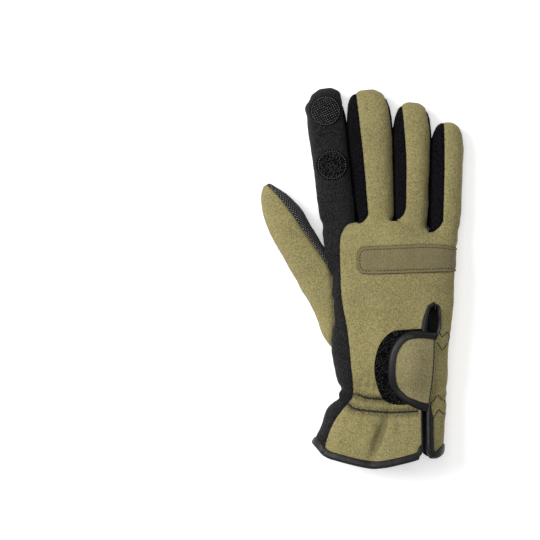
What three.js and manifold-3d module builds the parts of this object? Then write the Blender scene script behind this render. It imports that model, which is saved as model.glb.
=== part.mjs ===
// A neoprene fishing glove for the right hand, lying palm down with its fingers towards +Y.
// X runs to the little finger's side, Z up from the table, and all sizes are in millimetres.
// The glove is one hollow form, cut along its seams into the panels that a glove maker sews,
// with a knuckle band, touch-tape patches, a closing tab and edge tapes laid on it.

import * as THREE from "three";
import { mergeVertices } from "three/addons/utils/BufferGeometryUtils.js";
import Module from "manifold-3d";

const wasm = await Module();
wasm.setup();

// Cloth and clearances
const wall = 2.4; // neoprene laminate
const seamGap = 0.3; // between two panels sewn together
const layGap = 0.3; // between a panel and what is sewn on it
const sideSeam = 7; // height of the seams along the fingers' and the hand's sides

// Hand
const palmLength = 176; // cuff edge to the finger roots
const palmDepth = 36;
const squareness = 2.5; // exponent of the superellipse that every section is

// Fingers, from the thumb's side
const fingerGap = 0.8;
const spreadHeight = 45.5; // above the roots, where the fingers are at their widest
const fanShift = -1.9; // how far the widest row lies to the thumb's side
const crotchDrops = [4.2, 1.6, 10.2]; // how far each crotch lies below the roots
const fingers = [
  { name: "index", rootWidth: 25.6, width: 26.4, depth: 24, length: 89 },
  { name: "middle", rootWidth: 25.8, width: 30.0, depth: 25, length: 89 },
  { name: "ring", rootWidth: 23.2, width: 25.6, depth: 24, length: 80 },
  { name: "little", rootWidth: 21.4, width: 21.8, depth: 22, length: 66 },
];

// Thumb
const thumb = { width: 28, depth: 26, length: 127, lean: 27.5, baseAcross: -27.3, baseAlong: 0.484 };

// Closing tab, patches, band and tapes
const tab = { width: 31, height: 54.5, thickness: 2.4, middle: 0.385, footWidth: 2.6 };
const loopPatch = { margin: 9.6, thickness: 1.5 };
const dot = { radius: 10.6, thickness: 1.5, tip: 74, second: 35.8 };
const band = { width: 19, thickness: 1.3, middle: 0.824, start: -0.477 };
const tape = { thickness: 0.9, cuffWidth: 5.6, slitWidth: 2.6, tabWidth: 4.6 };
const tipSlit = { length: 15, width: 0.8, fromRoot: 60 };
const gather = { depth: 0.6, middle: 0.29, reach: 0.02 };

// Rows of the hand's sections, from the cuff to the finger roots.
// along: share of palmLength; radial, ulnar: shares of the half palm; floor, crown: shares of palmDepth
const handRows = [
  { along: -0.05, radial: 1.26, ulnar: 0.74, floor: 0.03, crown: 1.12 },
  { along: 0.09, radial: 1.11, ulnar: 0.755, floor: 0.03, crown: 1.08 },
  { along: 0.163, radial: 0.985, ulnar: 0.77, floor: 0.035, crown: 1.02 },
  { along: 0.252, radial: 0.83, ulnar: 0.79, floor: 0.06, crown: 0.92 },
  { along: 0.274, radial: 0.715, ulnar: 0.78, floor: 0.1, crown: 0.87 },
  { along: 0.29, radial: 0.73, ulnar: 0.79, floor: 0.07, crown: 0.91 },
  { along: 0.308, radial: 0.685, ulnar: 0.78, floor: 0.1, crown: 0.87 },
  { along: 0.337, radial: 0.74, ulnar: 0.785, floor: 0.1, crown: 0.93 },
  { along: 0.401, radial: 0.79, ulnar: 0.795, floor: 0.11, crown: 1.0 },
  { along: 0.484, radial: 0.84, ulnar: 0.815, floor: 0.12, crown: 1.02 },
  { along: 0.563, radial: 0.82, ulnar: 0.87, floor: 0.12, crown: 1.02 },
  { along: 0.702, radial: 0.84, ulnar: 0.915, floor: 0.12, crown: 1.0 },
  { along: 0.813, radial: 0.885, ulnar: 0.925, floor: 0.11, crown: 0.95 },
  { along: 0.901, radial: 0.945, ulnar: 0.95, floor: 0.06, crown: 0.87 },
  { along: 0.958, radial: 0.965, ulnar: 0.975, floor: 0.04, crown: 0.79 },
  { along: 1.0, radial: 0.93, ulnar: 0.94, floor: 0.08, crown: 0.68 },
];

// Rows of a finger's sections. along: share of its length above its root; root: how much of its
// width is still rootWidth; width, depth: shares of the finger's own; height: of its middle, in depths
const fingerRows = [
  { along: -0.22, root: 1, width: 0.88, depth: 0.9, height: 0.6 },
  { along: 0.0, root: 1, width: 1.0, depth: 1.0, height: 0.54 },
  { along: 0.25, root: 0.52, width: 1.0, depth: 1.0, height: 0.48 },
  { along: 0.51, root: 0, width: 1.0, depth: 0.98, height: 0.46 },
  { along: 0.8, root: 0, width: 0.98, depth: 0.9, height: 0.43 },
  { along: 0.91, root: 0, width: 0.85, depth: 0.76, height: 0.415 },
  { along: 0.97, root: 0, width: 0.62, depth: 0.54, height: 0.41 },
  { along: 1.0, root: 0, width: 0.3, depth: 0.26, height: 0.41 },
];

// Rows of the thumb's sections, from its gusset in the palm to its tip.
// radial, ulnar: shares of half its width; depth: share of its depth; seam: where its two panels
// meet, as a share of half its width from its middle line
const thumbRows = [
  { along: -0.1, radial: 0.35, ulnar: 1.0, depth: 0.55, seam: 0.75 },
  { along: -0.02, radial: 0.7, ulnar: 1.95, depth: 0.82, seam: 1.0 },
  { along: 0.1, radial: 1.0, ulnar: 2.5, depth: 0.92, seam: 1.05 },
  { along: 0.27, radial: 0.87, ulnar: 2.4, depth: 0.94, seam: 0.9 },
  { along: 0.42, radial: 0.9, ulnar: 1.7, depth: 0.97, seam: 0.83 },
  { along: 0.53, radial: 0.955, ulnar: 1.2, depth: 0.99, seam: 0.74 },
  { along: 0.65, radial: 1.0, ulnar: 1.05, depth: 1.0, seam: 0.6 },
  { along: 0.8, radial: 0.97, ulnar: 0.93, depth: 0.93, seam: 0.43 },
  { along: 0.9, radial: 0.77, ulnar: 0.67, depth: 0.78, seam: 0.27 },
  { along: 0.965, radial: 0.5, ulnar: 0.36, depth: 0.52, seam: 0.12 },
  { along: 1.0, radial: 0.2, ulnar: 0.15, depth: 0.2, seam: 0.0 },
];

// Each finger's back. root, middle, tip: where its edge on the thumb's side runs, as shares of half
// the finger's width from its middle line; height: of its seam on the little finger's side
const lobes = {
  index: { root: -1.6, middle: -1.6, tip: -1.6, height: 16.5 },
  middle: { root: -0.4, middle: -0.42, tip: -0.62, height: 14 },
  ring: { root: -0.42, middle: -0.35, tip: -0.7, height: 14 },
  little: { root: -0.1, middle: -0.14, tip: -0.32, height: sideSeam },
};

// The back panel's edge beside the thumb. across: share of the half palm
const backEdge = [
  { along: -0.08, across: -1.03 },
  { along: 0.091, across: -0.93 },
  { along: 0.187, across: -0.8 },
  { along: 0.258, across: -0.615 },
  { along: 0.294, across: -0.535 },
  { along: 0.425, across: -0.57 },
  { along: 0.544, across: -0.615 },
  { along: 0.663, across: -0.69 },
  { along: 0.782, across: -0.715 },
  { along: 0.901, across: -0.715 },
  { along: 0.948, across: -0.66 },
  { along: 0.972, across: -0.57 },
  { along: 0.982, across: -0.45 },
];

// The grip panel's edge in the palm
const gripEdge = [
  { along: -0.08, across: 0.1 },
  { along: 0.2, across: 0.24 },
  { along: 0.3, across: 0.27 },
  { along: 0.6, across: 0.13 },
  { along: 0.74, across: 0.14 },
  { along: 0.82, across: 0.24 },
  { along: 0.855, across: 0.45 },
  { along: 0.86, across: 0.7 },
];

// The cuff's edge in plan
const cuffEdge = [
  { across: -1.6, along: 0.2 },
  { across: -1.13, along: 0.103 },
  { across: -0.94, along: 0.046 },
  { across: -0.74, along: 0.02 },
  { across: -0.36, along: -0.002 },
  { across: -0.1, along: -0.003 },
  { across: 0.29, along: 0.016 },
  { across: 0.5, along: 0.035 },
  { across: 0.68, along: 0.042 },
  { across: 0.8, along: 0.062 },
  { across: 1.3, along: 0.14 },
];

// The wrist slit with its keyhole, from beyond the cuff's edge to its top. half: half its width
const slitRows = [
  { along: -0.1, across: 0.485, half: 0.043 },
  { along: 0.08, across: 0.488, half: 0.043 },
  { along: 0.22, across: 0.485, half: 0.042 },
  { along: 0.38, across: 0.488, half: 0.04 },
  { along: 0.46, across: 0.5, half: 0.042 },
  { along: 0.51, across: 0.56, half: 0.066 },
  { along: 0.55, across: 0.593, half: 0.098 },
  { along: 0.59, across: 0.605, half: 0.094 },
  { along: 0.625, across: 0.62, half: 0.07 },
  { along: 0.645, across: 0.633, half: 0.035 },
];

// Soft dents of the cuff's back, in millimetres. turn: degrees from the glove's length
const dents = [
  { along: 0.15, across: -0.14, length: 18, width: 5, depth: 1.8, turn: -20 },
  { along: 0.13, across: -0.6, length: 14, width: 6, depth: 0.9, turn: 15 },
];

const cloth = (color, roughness) => new THREE.MeshStandardMaterial({ color, roughness, metalness: 0 });
const materials = {
  olive: cloth(0x8f8858, 0.92),
  black: cloth(0x26262a, 0.88),
  grip: cloth(0x2c2a31, 0.8),
  band: cloth(0x837a55, 0.85),
  touch: cloth(0x121214, 1),
  tape: cloth(0x2b2b2e, 0.45),
};

// Places that follow from the sizes
const sum = (list) => list.reduce((total, value) => total + value, 0);
const packed = (key) => sum(fingers.map((f) => f[key])) + fingerGap * (fingers.length - 1);
const halfPalm = packed("rootWidth") / 2;
const along = (share) => share * palmLength;
const across = (share) => share * halfPalm;
const plan = (row) => new THREE.Vector2(across(row.across), along(row.along));
const tall = 2 * palmDepth; // above the whole glove
const far = 2 * halfPalm; // beyond the whole hand, to either side

// The middle of each finger in a row where the fingers lie side by side
function sideBySide(key, shift) {
  let edge = shift - packed(key) / 2;
  return fingers.map((f) => {
    const middle = edge + f[key] / 2;
    edge += f[key] + fingerGap;
    return middle;
  });
}

const rootMiddles = sideBySide("rootWidth", 0);
const wideMiddles = sideBySide("width", fanShift);
fingers.forEach((f, i) => {
  f.root = new THREE.Vector2(rootMiddles[i], palmLength);
  f.way = new THREE.Vector2(wideMiddles[i] - rootMiddles[i], spreadHeight).normalize();
});
thumb.root = new THREE.Vector2(thumb.baseAcross, along(thumb.baseAlong));
thumb.way = new THREE.Vector2(0, 1).rotateAround(new THREE.Vector2(), THREE.MathUtils.degToRad(thumb.lean));
const crotches = crotchDrops.map((drop, i) => ({
  x: rootMiddles[i] + (fingers[i].rootWidth + fingerGap) / 2,
  drop,
}));

// A point in plan: so far along a finger from its root, and so far to its little-finger side
function onFinger(f, distance, aside) {
  const side = new THREE.Vector2(f.way.y, -f.way.x);
  return f.root.clone().addScaledVector(f.way, distance).addScaledVector(side, aside);
}

function halfAt(f, distance) {
  const widening = THREE.MathUtils.clamp(distance / spreadHeight, 0, 1);
  return THREE.MathUtils.lerp(f.rootWidth, f.width, widening) / 2;
}

// How far the hand's end lies below the finger roots
function dropAt(x) {
  const after = crotches.findIndex((c) => c.x > x);
  if (after === 0) return crotches[0].drop;
  if (after < 0) return crotches.at(-1).drop;
  const [low, high] = [crotches[after - 1], crotches[after]];
  return THREE.MathUtils.mapLinear(x, low.x, high.x, low.drop, high.drop);
}

// How deep the cuff's soft dents go at a point in plan
function dentAt(x, y) {
  return sum(
    dents.map((d) => {
      const reach = new THREE.Vector2(x - across(d.across), y - along(d.along));
      reach.rotateAround(new THREE.Vector2(), THREE.MathUtils.degToRad(-d.turn));
      return d.depth * Math.exp(-((reach.x / d.width) ** 2) - (reach.y / d.length) ** 2);
    }),
  );
}

// How deep the wrist's elastic draws the cloth in, fold by fold
function gatherAt(share, side) {
  const fold = side % 2 ? 1 : -1;
  return fold * gather.depth * Math.exp(-(((share - gather.middle) / gather.reach) ** 2));
}

// Solids
function solidOf(geometry) {
  geometry.deleteAttribute("normal");
  geometry.deleteAttribute("uv");
  const merged = mergeVertices(geometry, 1e-4);
  return new wasm.Manifold(
    new wasm.Mesh({
      numProp: 3,
      vertProperties: merged.attributes.position.array,
      triVerts: new Uint32Array(merged.index.array),
    }),
  );
}

const union = (solids) => solids.reduce((all, next) => all.add(next));

// Keeps a panel and lets go of the crumbs that a cut along a curved side leaves
function panelOf(solid) {
  const bodies = solid.decompose();
  return bodies.reduce((best, body) => (body.volume() > best.volume() ? body : best));
}

// A closed tube of superellipse rings. A ring has its middle in plan, the way it faces, a half width
// to either side, a half depth, and the height of its middle above the table. The tube is flat where
// it rests on the table, and a ring's warp bends its finished points
function tube(rings, sides, offset) {
  const geometry = new THREE.CylinderGeometry(1, 1, 1, sides, rings.length - 1);
  const points = geometry.getAttribute("position");
  const bulge = (value) => Math.sign(value) * Math.abs(value) ** (2 / squareness);
  const point = new THREE.Vector3();
  for (let i = 0; i < points.count; i++) {
    const ring = rings[Math.round((0.5 + points.getY(i)) * (rings.length - 1))];
    const radius = Math.round(Math.hypot(points.getX(i), points.getZ(i)));
    const turn = Math.atan2(-points.getX(i), points.getZ(i)) / (2 * Math.PI);
    const side = (Math.round(turn * sides) + sides) % sides;
    const angle = (side / sides) * 2 * Math.PI;
    const half = (Math.cos(angle) > 0 ? ring.ulnar : ring.radial) + offset;
    const aside = radius * half * bulge(Math.cos(angle));
    const up = radius * bulge(Math.sin(angle));
    point.set(ring.middle.x + ring.way.y * aside, ring.middle.y - ring.way.x * aside, 0);
    point.z = ring.height + up * (ring.depth + offset);
    if (ring.warp) ring.warp(point, side, up);
    points.setXYZ(i, point.x, point.y, Math.max(point.z, 0, -offset));
  }
  return solidOf(geometry);
}

function handTube(offset, sides) {
  const rings = handRows.map((row, i) => {
    const ease = THREE.MathUtils.smoothstep(row.along, 0.78, 1);
    return {
      middle: new THREE.Vector2(0, along(row.along) + (i === handRows.length - 1 ? offset : 0)),
      way: new THREE.Vector2(0, 1),
      radial: across(row.radial),
      ulnar: across(row.ulnar),
      depth: ((row.crown - row.floor) / 2) * palmDepth,
      height: ((row.crown + row.floor) / 2) * palmDepth,
      warp: (point, side, up) => {
        point.z -= dentAt(point.x, point.y) * Math.max(0, up);
        if (offset >= 0) point.z -= gatherAt(row.along, side) * up;
        point.y -= ease * dropAt(point.x);
      },
    };
  });
  return tube(rings, sides, offset);
}

function fingerTube(f, offset, sides) {
  const rings = fingerRows.map((row, i) => {
    const stretch = i === fingerRows.length - 1 ? offset : 0;
    const half = (row.width * THREE.MathUtils.lerp(f.width, f.rootWidth, row.root)) / 2;
    return {
      middle: onFinger(f, row.along * f.length + stretch, 0),
      way: f.way,
      radial: half,
      ulnar: half,
      depth: (row.depth * f.depth) / 2,
      height: row.height * f.depth,
    };
  });
  return tube(rings, sides, offset);
}

function thumbTube(offset, sides) {
  const rings = thumbRows.map((row, i) => {
    const stretch = i === 0 ? -offset : i === thumbRows.length - 1 ? offset : 0;
    return {
      middle: onFinger(thumb, row.along * thumb.length + stretch, 0),
      way: thumb.way,
      radial: (row.radial * thumb.width) / 2,
      ulnar: (row.ulnar * thumb.width) / 2,
      depth: (row.depth * thumb.depth) / 2,
      height: 0.475 * thumb.depth,
    };
  });
  return tube(rings, sides, offset);
}

// The whole hand without its thumb, thicker or thinner by an offset
const outerSides = { hand: 30, finger: 14, thumb: 16 };
const innerSides = { hand: 18, finger: 8, thumb: 10 };
function form(offset) {
  const sides = offset < 0 ? innerSides : outerSides;
  const tubes = fingers.map((f) => fingerTube(f, offset, sides.finger));
  return union([handTube(offset, sides.hand), ...tubes]);
}

const shell = (high, low) => form(high).subtract(form(low));

// Upright plates over outlines in plan
function plate(outline, low, high) {
  const geometry = new THREE.ExtrudeGeometry(new THREE.Shape(outline), {
    depth: high - low,
    bevelEnabled: false,
  });
  return solidOf(geometry.translate(0, 0, low));
}

function grow(outline, distance) {
  const outwards = THREE.ShapeUtils.isClockWise(outline) ? -distance : distance;
  return outline.map((point, i) => {
    const before = outline[(i + outline.length - 1) % outline.length];
    const after = outline[(i + 1) % outline.length];
    const first = point.clone().sub(before).normalize();
    const second = after.clone().sub(point).normalize();
    const bisector = first.clone().add(second).normalize();
    const mitre = outwards / Math.max(0.4, bisector.dot(first));
    return new THREE.Vector2(point.x + bisector.y * mitre, point.y - bisector.x * mitre);
  });
}

const spline = (points, steps) => new THREE.SplineCurve(points).getPoints(steps);

// A region gives its upright solid, grown by a distance on every side
const region = (outline, low, high) => (d) => plate(grow(outline, d), low - d, high + d);
const joined = (...regions) => (d) => union(regions.map((one) => one(d)));
const without = (one, other) => (d) => one(d).subtract(other(-d));

// Cuts a solid along a region's edge, with the seam's gap between its two parts
const inside = (solid, cut) => solid.intersect(cut(-seamGap / 2));
const outside = (solid, cut) => solid.subtract(cut(seamGap / 2));

// The back of one finger
function lobeRegion(i) {
  const f = fingers[i];
  const lobe = lobes[f.name];
  const reach = i === fingers.length - 1 ? far : fingerGap / 2;
  const edge = (distance, share) => onFinger(f, distance, share * halfAt(f, distance));
  const rim = (distance) => onFinger(f, distance, halfAt(f, distance) + reach);
  const seam = spline(
    [edge(-15, lobe.root), edge(0.5 * f.length, lobe.middle), edge(1.1 * f.length, lobe.tip)],
    4,
  );
  const rims = [rim(1.1 * f.length), rim(spreadHeight), rim(0), rim(-15)];
  return region([...seam, ...rims], lobe.height, tall);
}

const crotchPoint = (i, below) =>
  new THREE.Vector2(crotches[i].x, palmLength - crotches[i].drop - below);

const backRegion = joined(
  region(
    [
      ...spline(backEdge.map(plan), 15),
      crotchPoint(0, 0.3),
      crotchPoint(1, 2),
      crotchPoint(2, 2),
      new THREE.Vector2(far, crotchPoint(2, 2).y),
      new THREE.Vector2(far, along(-0.1)),
      new THREE.Vector2(across(backEdge[0].across), along(-0.1)),
    ],
    sideSeam,
    tall,
  ),
  ...[1, 2, 3].map(lobeRegion),
);

// A fourchette runs up one finger's side, round the crotch and down the next finger's
function fourchetteRegion(i) {
  const [f, next] = [fingers[i], fingers[i + 1]];
  const outline = [
    onFinger(f, -13, 0.3 * halfAt(f, 0)),
    onFinger(f, 0.9 * f.length, 0.3 * halfAt(f, f.length)),
    onFinger(f, 0.9 * f.length, halfAt(f, f.length) + fingerGap / 2),
    onFinger(next, 0.9 * next.length, -halfAt(next, next.length) - fingerGap / 2),
    onFinger(next, 0.9 * next.length, -0.08 * halfAt(next, next.length)),
    onFinger(next, -13, -0.08 * halfAt(next, 0)),
  ];
  return without(region(outline, sideSeam, tall), lobeRegion(i));
}

const gripRegion = region(
  [
    ...spline(gripEdge.map(plan), 11),
    new THREE.Vector2(far, along(gripEdge.at(-1).along)),
    new THREE.Vector2(far, along(-0.1)),
    new THREE.Vector2(across(gripEdge[0].across), along(-0.1)),
  ],
  -tall,
  tall,
);

const onThumbSeam = (row) =>
  onFinger(thumb, row.along * thumb.length, (row.seam * thumb.width) / 2);
const thumbBackRegion = region(
  [
    onFinger(thumb, -0.3 * thumb.length, (thumbRows[0].seam * thumb.width) / 2),
    ...spline(thumbRows.map(onThumbSeam), 9),
    onFinger(thumb, 1.2 * thumb.length, 0),
    onFinger(thumb, 1.2 * thumb.length, -far),
    onFinger(thumb, -0.3 * thumb.length, -far),
  ],
  -tall,
  tall,
);

// What the cuff's edge and the slit leave open, grown by a distance
function cuffOpening(d) {
  const outline = [
    ...spline(cuffEdge.map(plan), 12),
    new THREE.Vector2(far, along(-0.4)),
    new THREE.Vector2(-far, along(-0.4)),
  ];
  return plate(grow(outline, d), -tall, tall);
}

function slitOpening(d) {
  const rows = slitRows.filter((row) => across(row.half) + d > 0.2);
  const last = rows.at(-1);
  const side = (sign) => (row) =>
    new THREE.Vector2(across(row.across) + sign * (across(row.half) + d), along(row.along));
  const top = new THREE.Vector2(across(last.across), along(last.along) + 0.6 * (across(last.half) + d));
  const outline = [...spline(rows.map(side(-1)), 11), top, ...spline(rows.map(side(1)), 11).reverse()];
  return plate(outline, palmDepth / 2, tall);
}

// The hand's panels
const index = fingers[0];
const slot = (lengthwise, sideways) =>
  onFinger(index, tipSlit.fromRoot + lengthwise * tipSlit.width, sideways * tipSlit.length);
const touchSlot = plate(
  [slot(-0.5, -0.5), slot(-0.5, 0.5), slot(0.5, 0.5), slot(0.5, -0.5)],
  -tall,
  index.depth / 2,
);
const hand = shell(0, -wall)
  .subtract(thumbTube(-wall, innerSides.thumb))
  .subtract(cuffOpening(0))
  .subtract(touchSlot);
const belowBack = outside(hand, backRegion);
const fourchettes = [0, 1, 2].map(fourchetteRegion);
const palm = fourchettes.reduce(outside, belowBack);

const thumbShell = thumbTube(0, outerSides.thumb)
  .subtract(thumbTube(-wall, innerSides.thumb))
  .subtract(form(seamGap));

// Tape folded over the cuff's edge and round the slit
const lip = layGap + tape.thickness;
const edgeTape = shell(lip, -wall - lip)
  .intersect(cuffOpening(tape.cuffWidth).add(slitOpening(tape.slitWidth)))
  .subtract(cuffOpening(-lip))
  .subtract(slitOpening(-lip))
  .subtract(
    shell(layGap, -wall - layGap).subtract(cuffOpening(-layGap)).subtract(slitOpening(-layGap)),
  );

// The slit's two edges at a height, for what lies beside it
function slitEdge(y, sign) {
  const after = slitRows.findIndex((row) => along(row.along) > y);
  const [low, high] = [slitRows[after - 1], slitRows[after]];
  const at = (row) => across(row.across + sign * row.half);
  return THREE.MathUtils.mapLinear(y, along(low.along), along(high.along), at(low), at(high));
}

// The closing tab is a D, sewn down beside the slit and lying over the loop patch
const tabMiddle = along(tab.middle);
const besideSlit = (y) => slitEdge(y, 1) + tape.slitWidth + 2 * layGap;
const tabEdge = besideSlit(tabMiddle) + tab.footWidth;
const overBack = (outline) => plate(outline, palmDepth / 2, tall);

// A D with its straight side at an x of its own and its round side to the thumb's side
function dShape(width, height, straight) {
  const outline = [];
  for (let i = 0; i <= 14; i++) {
    const angle = (i / 14) * Math.PI;
    const x = tabEdge - width * Math.sin(angle) ** 0.8;
    outline.push(new THREE.Vector2(x, tabMiddle + (height / 2) * Math.cos(angle)));
  }
  const low = new THREE.Vector2(straight, tabMiddle - height / 2);
  const high = new THREE.Vector2(straight, tabMiddle + height / 2);
  return straight > tabEdge ? [...outline, low, high] : outline;
}

const tabLow = 3 * layGap + loopPatch.thickness + tape.thickness;
const tabHigh = tabLow + tab.thickness;
const footRows = [-0.4, -0.2, 0, 0.2].map((share) => tabMiddle + share * tab.height);
const foot = overBack([
  ...footRows.map((y) => new THREE.Vector2(besideSlit(y), y)),
  new THREE.Vector2(tabEdge, footRows.at(-1)),
  new THREE.Vector2(tabEdge, footRows[0]),
]);
const wristTab = shell(tabHigh, tabLow)
  .intersect(overBack(dShape(tab.width, tab.height, tabEdge)))
  .add(shell(tabHigh, layGap).intersect(foot));

const leftOf = (x) =>
  overBack([
    new THREE.Vector2(-far, 0),
    new THREE.Vector2(x, 0),
    new THREE.Vector2(x, palmLength),
    new THREE.Vector2(-far, palmLength),
  ]);
const wideD = (d) => overBack(dShape(tab.width + d, tab.height + 2 * d, tabEdge + far / 4));
const tabTape = shell(tabHigh + lip, tabLow - lip)
  .intersect(wideD(lip).subtract(wideD(lip - tape.tabWidth)))
  .subtract(shell(tabHigh + layGap, tabLow - layGap).intersect(wideD(layGap)))
  .intersect(leftOf(besideSlit(tabMiddle) - layGap));

const patchEnd = slitEdge(tabMiddle, -1) - tape.slitWidth - 2 * layGap;
const patch = shell(layGap + loopPatch.thickness, layGap)
  .intersect(wideD(loopPatch.margin))
  .intersect(leftOf(patchEnd));

// Knuckle band and touch dots
const bandOutline = [
  ...new THREE.EllipseCurve(0, 0, band.width / 4, band.width / 2, 1.5 * Math.PI, 0.5 * Math.PI, true)
    .getPoints(8)
    .map((p) => new THREE.Vector2(p.x + across(band.start) + band.width / 4, p.y + along(band.middle))),
  new THREE.Vector2(far, along(band.middle) + band.width / 2),
  new THREE.Vector2(far, along(band.middle) - band.width / 2),
];
const knuckleBand = shell(layGap + band.thickness, layGap).intersect(
  plate(bandOutline, sideSeam + 1, tall),
);

const touchDot = (distance) => {
  const middle = onFinger(index, distance, 0);
  const circle = new THREE.EllipseCurve(middle.x, middle.y, dot.radius, dot.radius).getPoints(18);
  return shell(layGap + dot.thickness, layGap).intersect(overBack(circle.slice(0, -1)));
};

// The finished glove
const pieces = {
  back_panel: [inside(hand.subtract(slitOpening(0)), backRegion), materials.olive],
  palm_panel: [outside(palm, gripRegion), materials.black],
  palm_grip: [inside(palm, gripRegion), materials.grip],
  fourchette_index_middle: [inside(belowBack, fourchettes[0]), materials.black],
  fourchette_middle_ring: [inside(belowBack, fourchettes[1]), materials.black],
  fourchette_ring_little: [inside(belowBack, fourchettes[2]), materials.black],
  thumb_back: [inside(thumbShell, thumbBackRegion), materials.olive],
  thumb_palm: [outside(thumbShell, thumbBackRegion), materials.grip],
  knuckle_band: [knuckleBand, materials.band],
  tip_dot: [touchDot(dot.tip), materials.touch],
  knuckle_dot: [touchDot(dot.second), materials.touch],
  loop_patch: [patch, materials.touch],
  wrist_tab: [wristTab, materials.olive],
  tab_tape: [tabTape, materials.tape],
  edge_tape: [edgeTape, materials.tape],
};

function meshOf(name, [solid, material]) {
  const { vertProperties, triVerts, numProp } = panelOf(solid).getMesh();
  const geometry = new THREE.BufferGeometry();
  const stride = new THREE.InterleavedBuffer(vertProperties, numProp);
  geometry.setAttribute("position", new THREE.InterleavedBufferAttribute(stride, 3, 0));
  geometry.setIndex(Array.from(triVerts));
  const flat = geometry.toNonIndexed();
  flat.computeVertexNormals();
  const mesh = new THREE.Mesh(flat, material);
  mesh.name = name;
  return mesh;
}

// The glove stands on the middle of its own footprint
const glove = new THREE.Group();
glove.name = "glove";
glove.add(...Object.entries(pieces).map(([name, piece]) => meshOf(name, piece)));
const middle = new THREE.Box3().setFromObject(glove).getCenter(new THREE.Vector3());
glove.position.set(-middle.x, -middle.y, 0);

export default glove;
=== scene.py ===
"""A neoprene fishing glove for the right hand, dressed around its CAD model.

The shapes are made in the glove maker's own millimetres (x from the palm's axis towards the little
finger, y from the cuff towards the fingertips, z up from the table) and set into the frame in metres.
"""

import logging
import math
from dataclasses import dataclass
from enum import Enum, IntEnum
from typing import Callable, Iterable, Sequence

import bmesh
import bpy
import numpy as np
from mathutils import Matrix, Vector
from mathutils.bvhtree import BVHTree
from mathutils.kdtree import KDTree


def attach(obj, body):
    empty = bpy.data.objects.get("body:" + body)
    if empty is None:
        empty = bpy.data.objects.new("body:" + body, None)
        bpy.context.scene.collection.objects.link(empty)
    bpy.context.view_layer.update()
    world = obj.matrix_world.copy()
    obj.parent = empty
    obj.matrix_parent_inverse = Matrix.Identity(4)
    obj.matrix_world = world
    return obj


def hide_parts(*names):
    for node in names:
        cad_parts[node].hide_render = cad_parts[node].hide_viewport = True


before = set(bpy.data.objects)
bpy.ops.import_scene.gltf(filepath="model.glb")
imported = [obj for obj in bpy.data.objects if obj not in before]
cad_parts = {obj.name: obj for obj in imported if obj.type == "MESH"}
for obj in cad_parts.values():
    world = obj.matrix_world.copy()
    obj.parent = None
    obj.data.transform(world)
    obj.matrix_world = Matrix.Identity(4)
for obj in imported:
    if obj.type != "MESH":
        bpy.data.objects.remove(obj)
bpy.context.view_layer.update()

logging.basicConfig(level=logging.INFO, format="%(name)s: %(message)s")
log = logging.getLogger("glove")

MM = 0.001
# Where the glove's own origin lies in the frame, in metres
SHIFT = (0.0194189, -0.1316345)
# Heights above and below the whole glove, in millimetres
SKY = 90.0
CELLAR = -20.0
ANY_HEIGHT = 99.0
Array = np.ndarray
BMesh = bmesh.types.BMesh
Material = bpy.types.Material
Field = Callable[[Array], Array]
Colour = tuple[float, float, float, float]
Points = tuple[tuple[float, float], ...]
Rows = tuple[tuple[float, ...], ...]


# Sizes


@dataclass(frozen=True)
class FingerSizes:
    """One finger's sizes, in millimetres."""

    name: str
    root_width: float
    width: float
    depth: float
    length: float


@dataclass(frozen=True)
class HandSizes:
    """The hand's sizes and rows, in millimetres and shares of them."""

    palm_length: float = 176.0
    palm_depth: float = 36.0
    squareness: float = 2.5
    finger_gap: float = 0.8
    spread_height: float = 45.5
    fan_shift: float = -1.9
    side_seam: float = 7.0
    crotch_drops: tuple[float, ...] = (4.2, 1.6, 10.2)
    fingers: tuple[FingerSizes, ...] = (
        FingerSizes("index", 25.6, 26.4, 24, 89),
        FingerSizes("middle", 25.8, 30.0, 25, 89),
        FingerSizes("ring", 23.2, 25.6, 24, 80),
        FingerSizes("little", 21.4, 21.8, 22, 66),
    )
    # along, radial, ulnar, floor, crown
    rows: Rows = (
        (-0.05, 1.26, 0.74, 0.03, 1.12),
        (0.09, 1.11, 0.755, 0.03, 1.08),
        (0.163, 0.985, 0.77, 0.035, 1.02),
        (0.252, 0.83, 0.79, 0.06, 0.92),
        (0.274, 0.715, 0.78, 0.1, 0.87),
        (0.29, 0.73, 0.79, 0.07, 0.91),
        (0.308, 0.685, 0.78, 0.1, 0.87),
        (0.337, 0.74, 0.785, 0.1, 0.93),
        (0.401, 0.79, 0.795, 0.11, 1.0),
        (0.484, 0.84, 0.815, 0.12, 1.02),
        (0.563, 0.82, 0.858, 0.12, 1.02),
        (0.702, 0.84, 0.89, 0.12, 1.0),
        (0.813, 0.885, 0.895, 0.11, 0.95),
        (0.901, 0.945, 0.93, 0.06, 0.87),
        (0.958, 0.965, 0.975, 0.04, 0.79),
        (1.0, 0.93, 0.94, 0.08, 0.68),
    )
    # along, root, width, depth, height
    finger_rows: Rows = (
        (-0.22, 1, 0.88, 0.9, 0.6),
        (0.0, 1, 1.0, 1.0, 0.54),
        (0.25, 0.52, 1.0, 1.0, 0.48),
        (0.51, 0, 1.0, 0.98, 0.46),
        (0.8, 0, 0.98, 0.9, 0.43),
        (0.91, 0, 0.85, 0.76, 0.415),
        (0.97, 0, 0.62, 0.54, 0.41),
        (1.0, 0, 0.3, 0.26, 0.41),
    )


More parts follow.
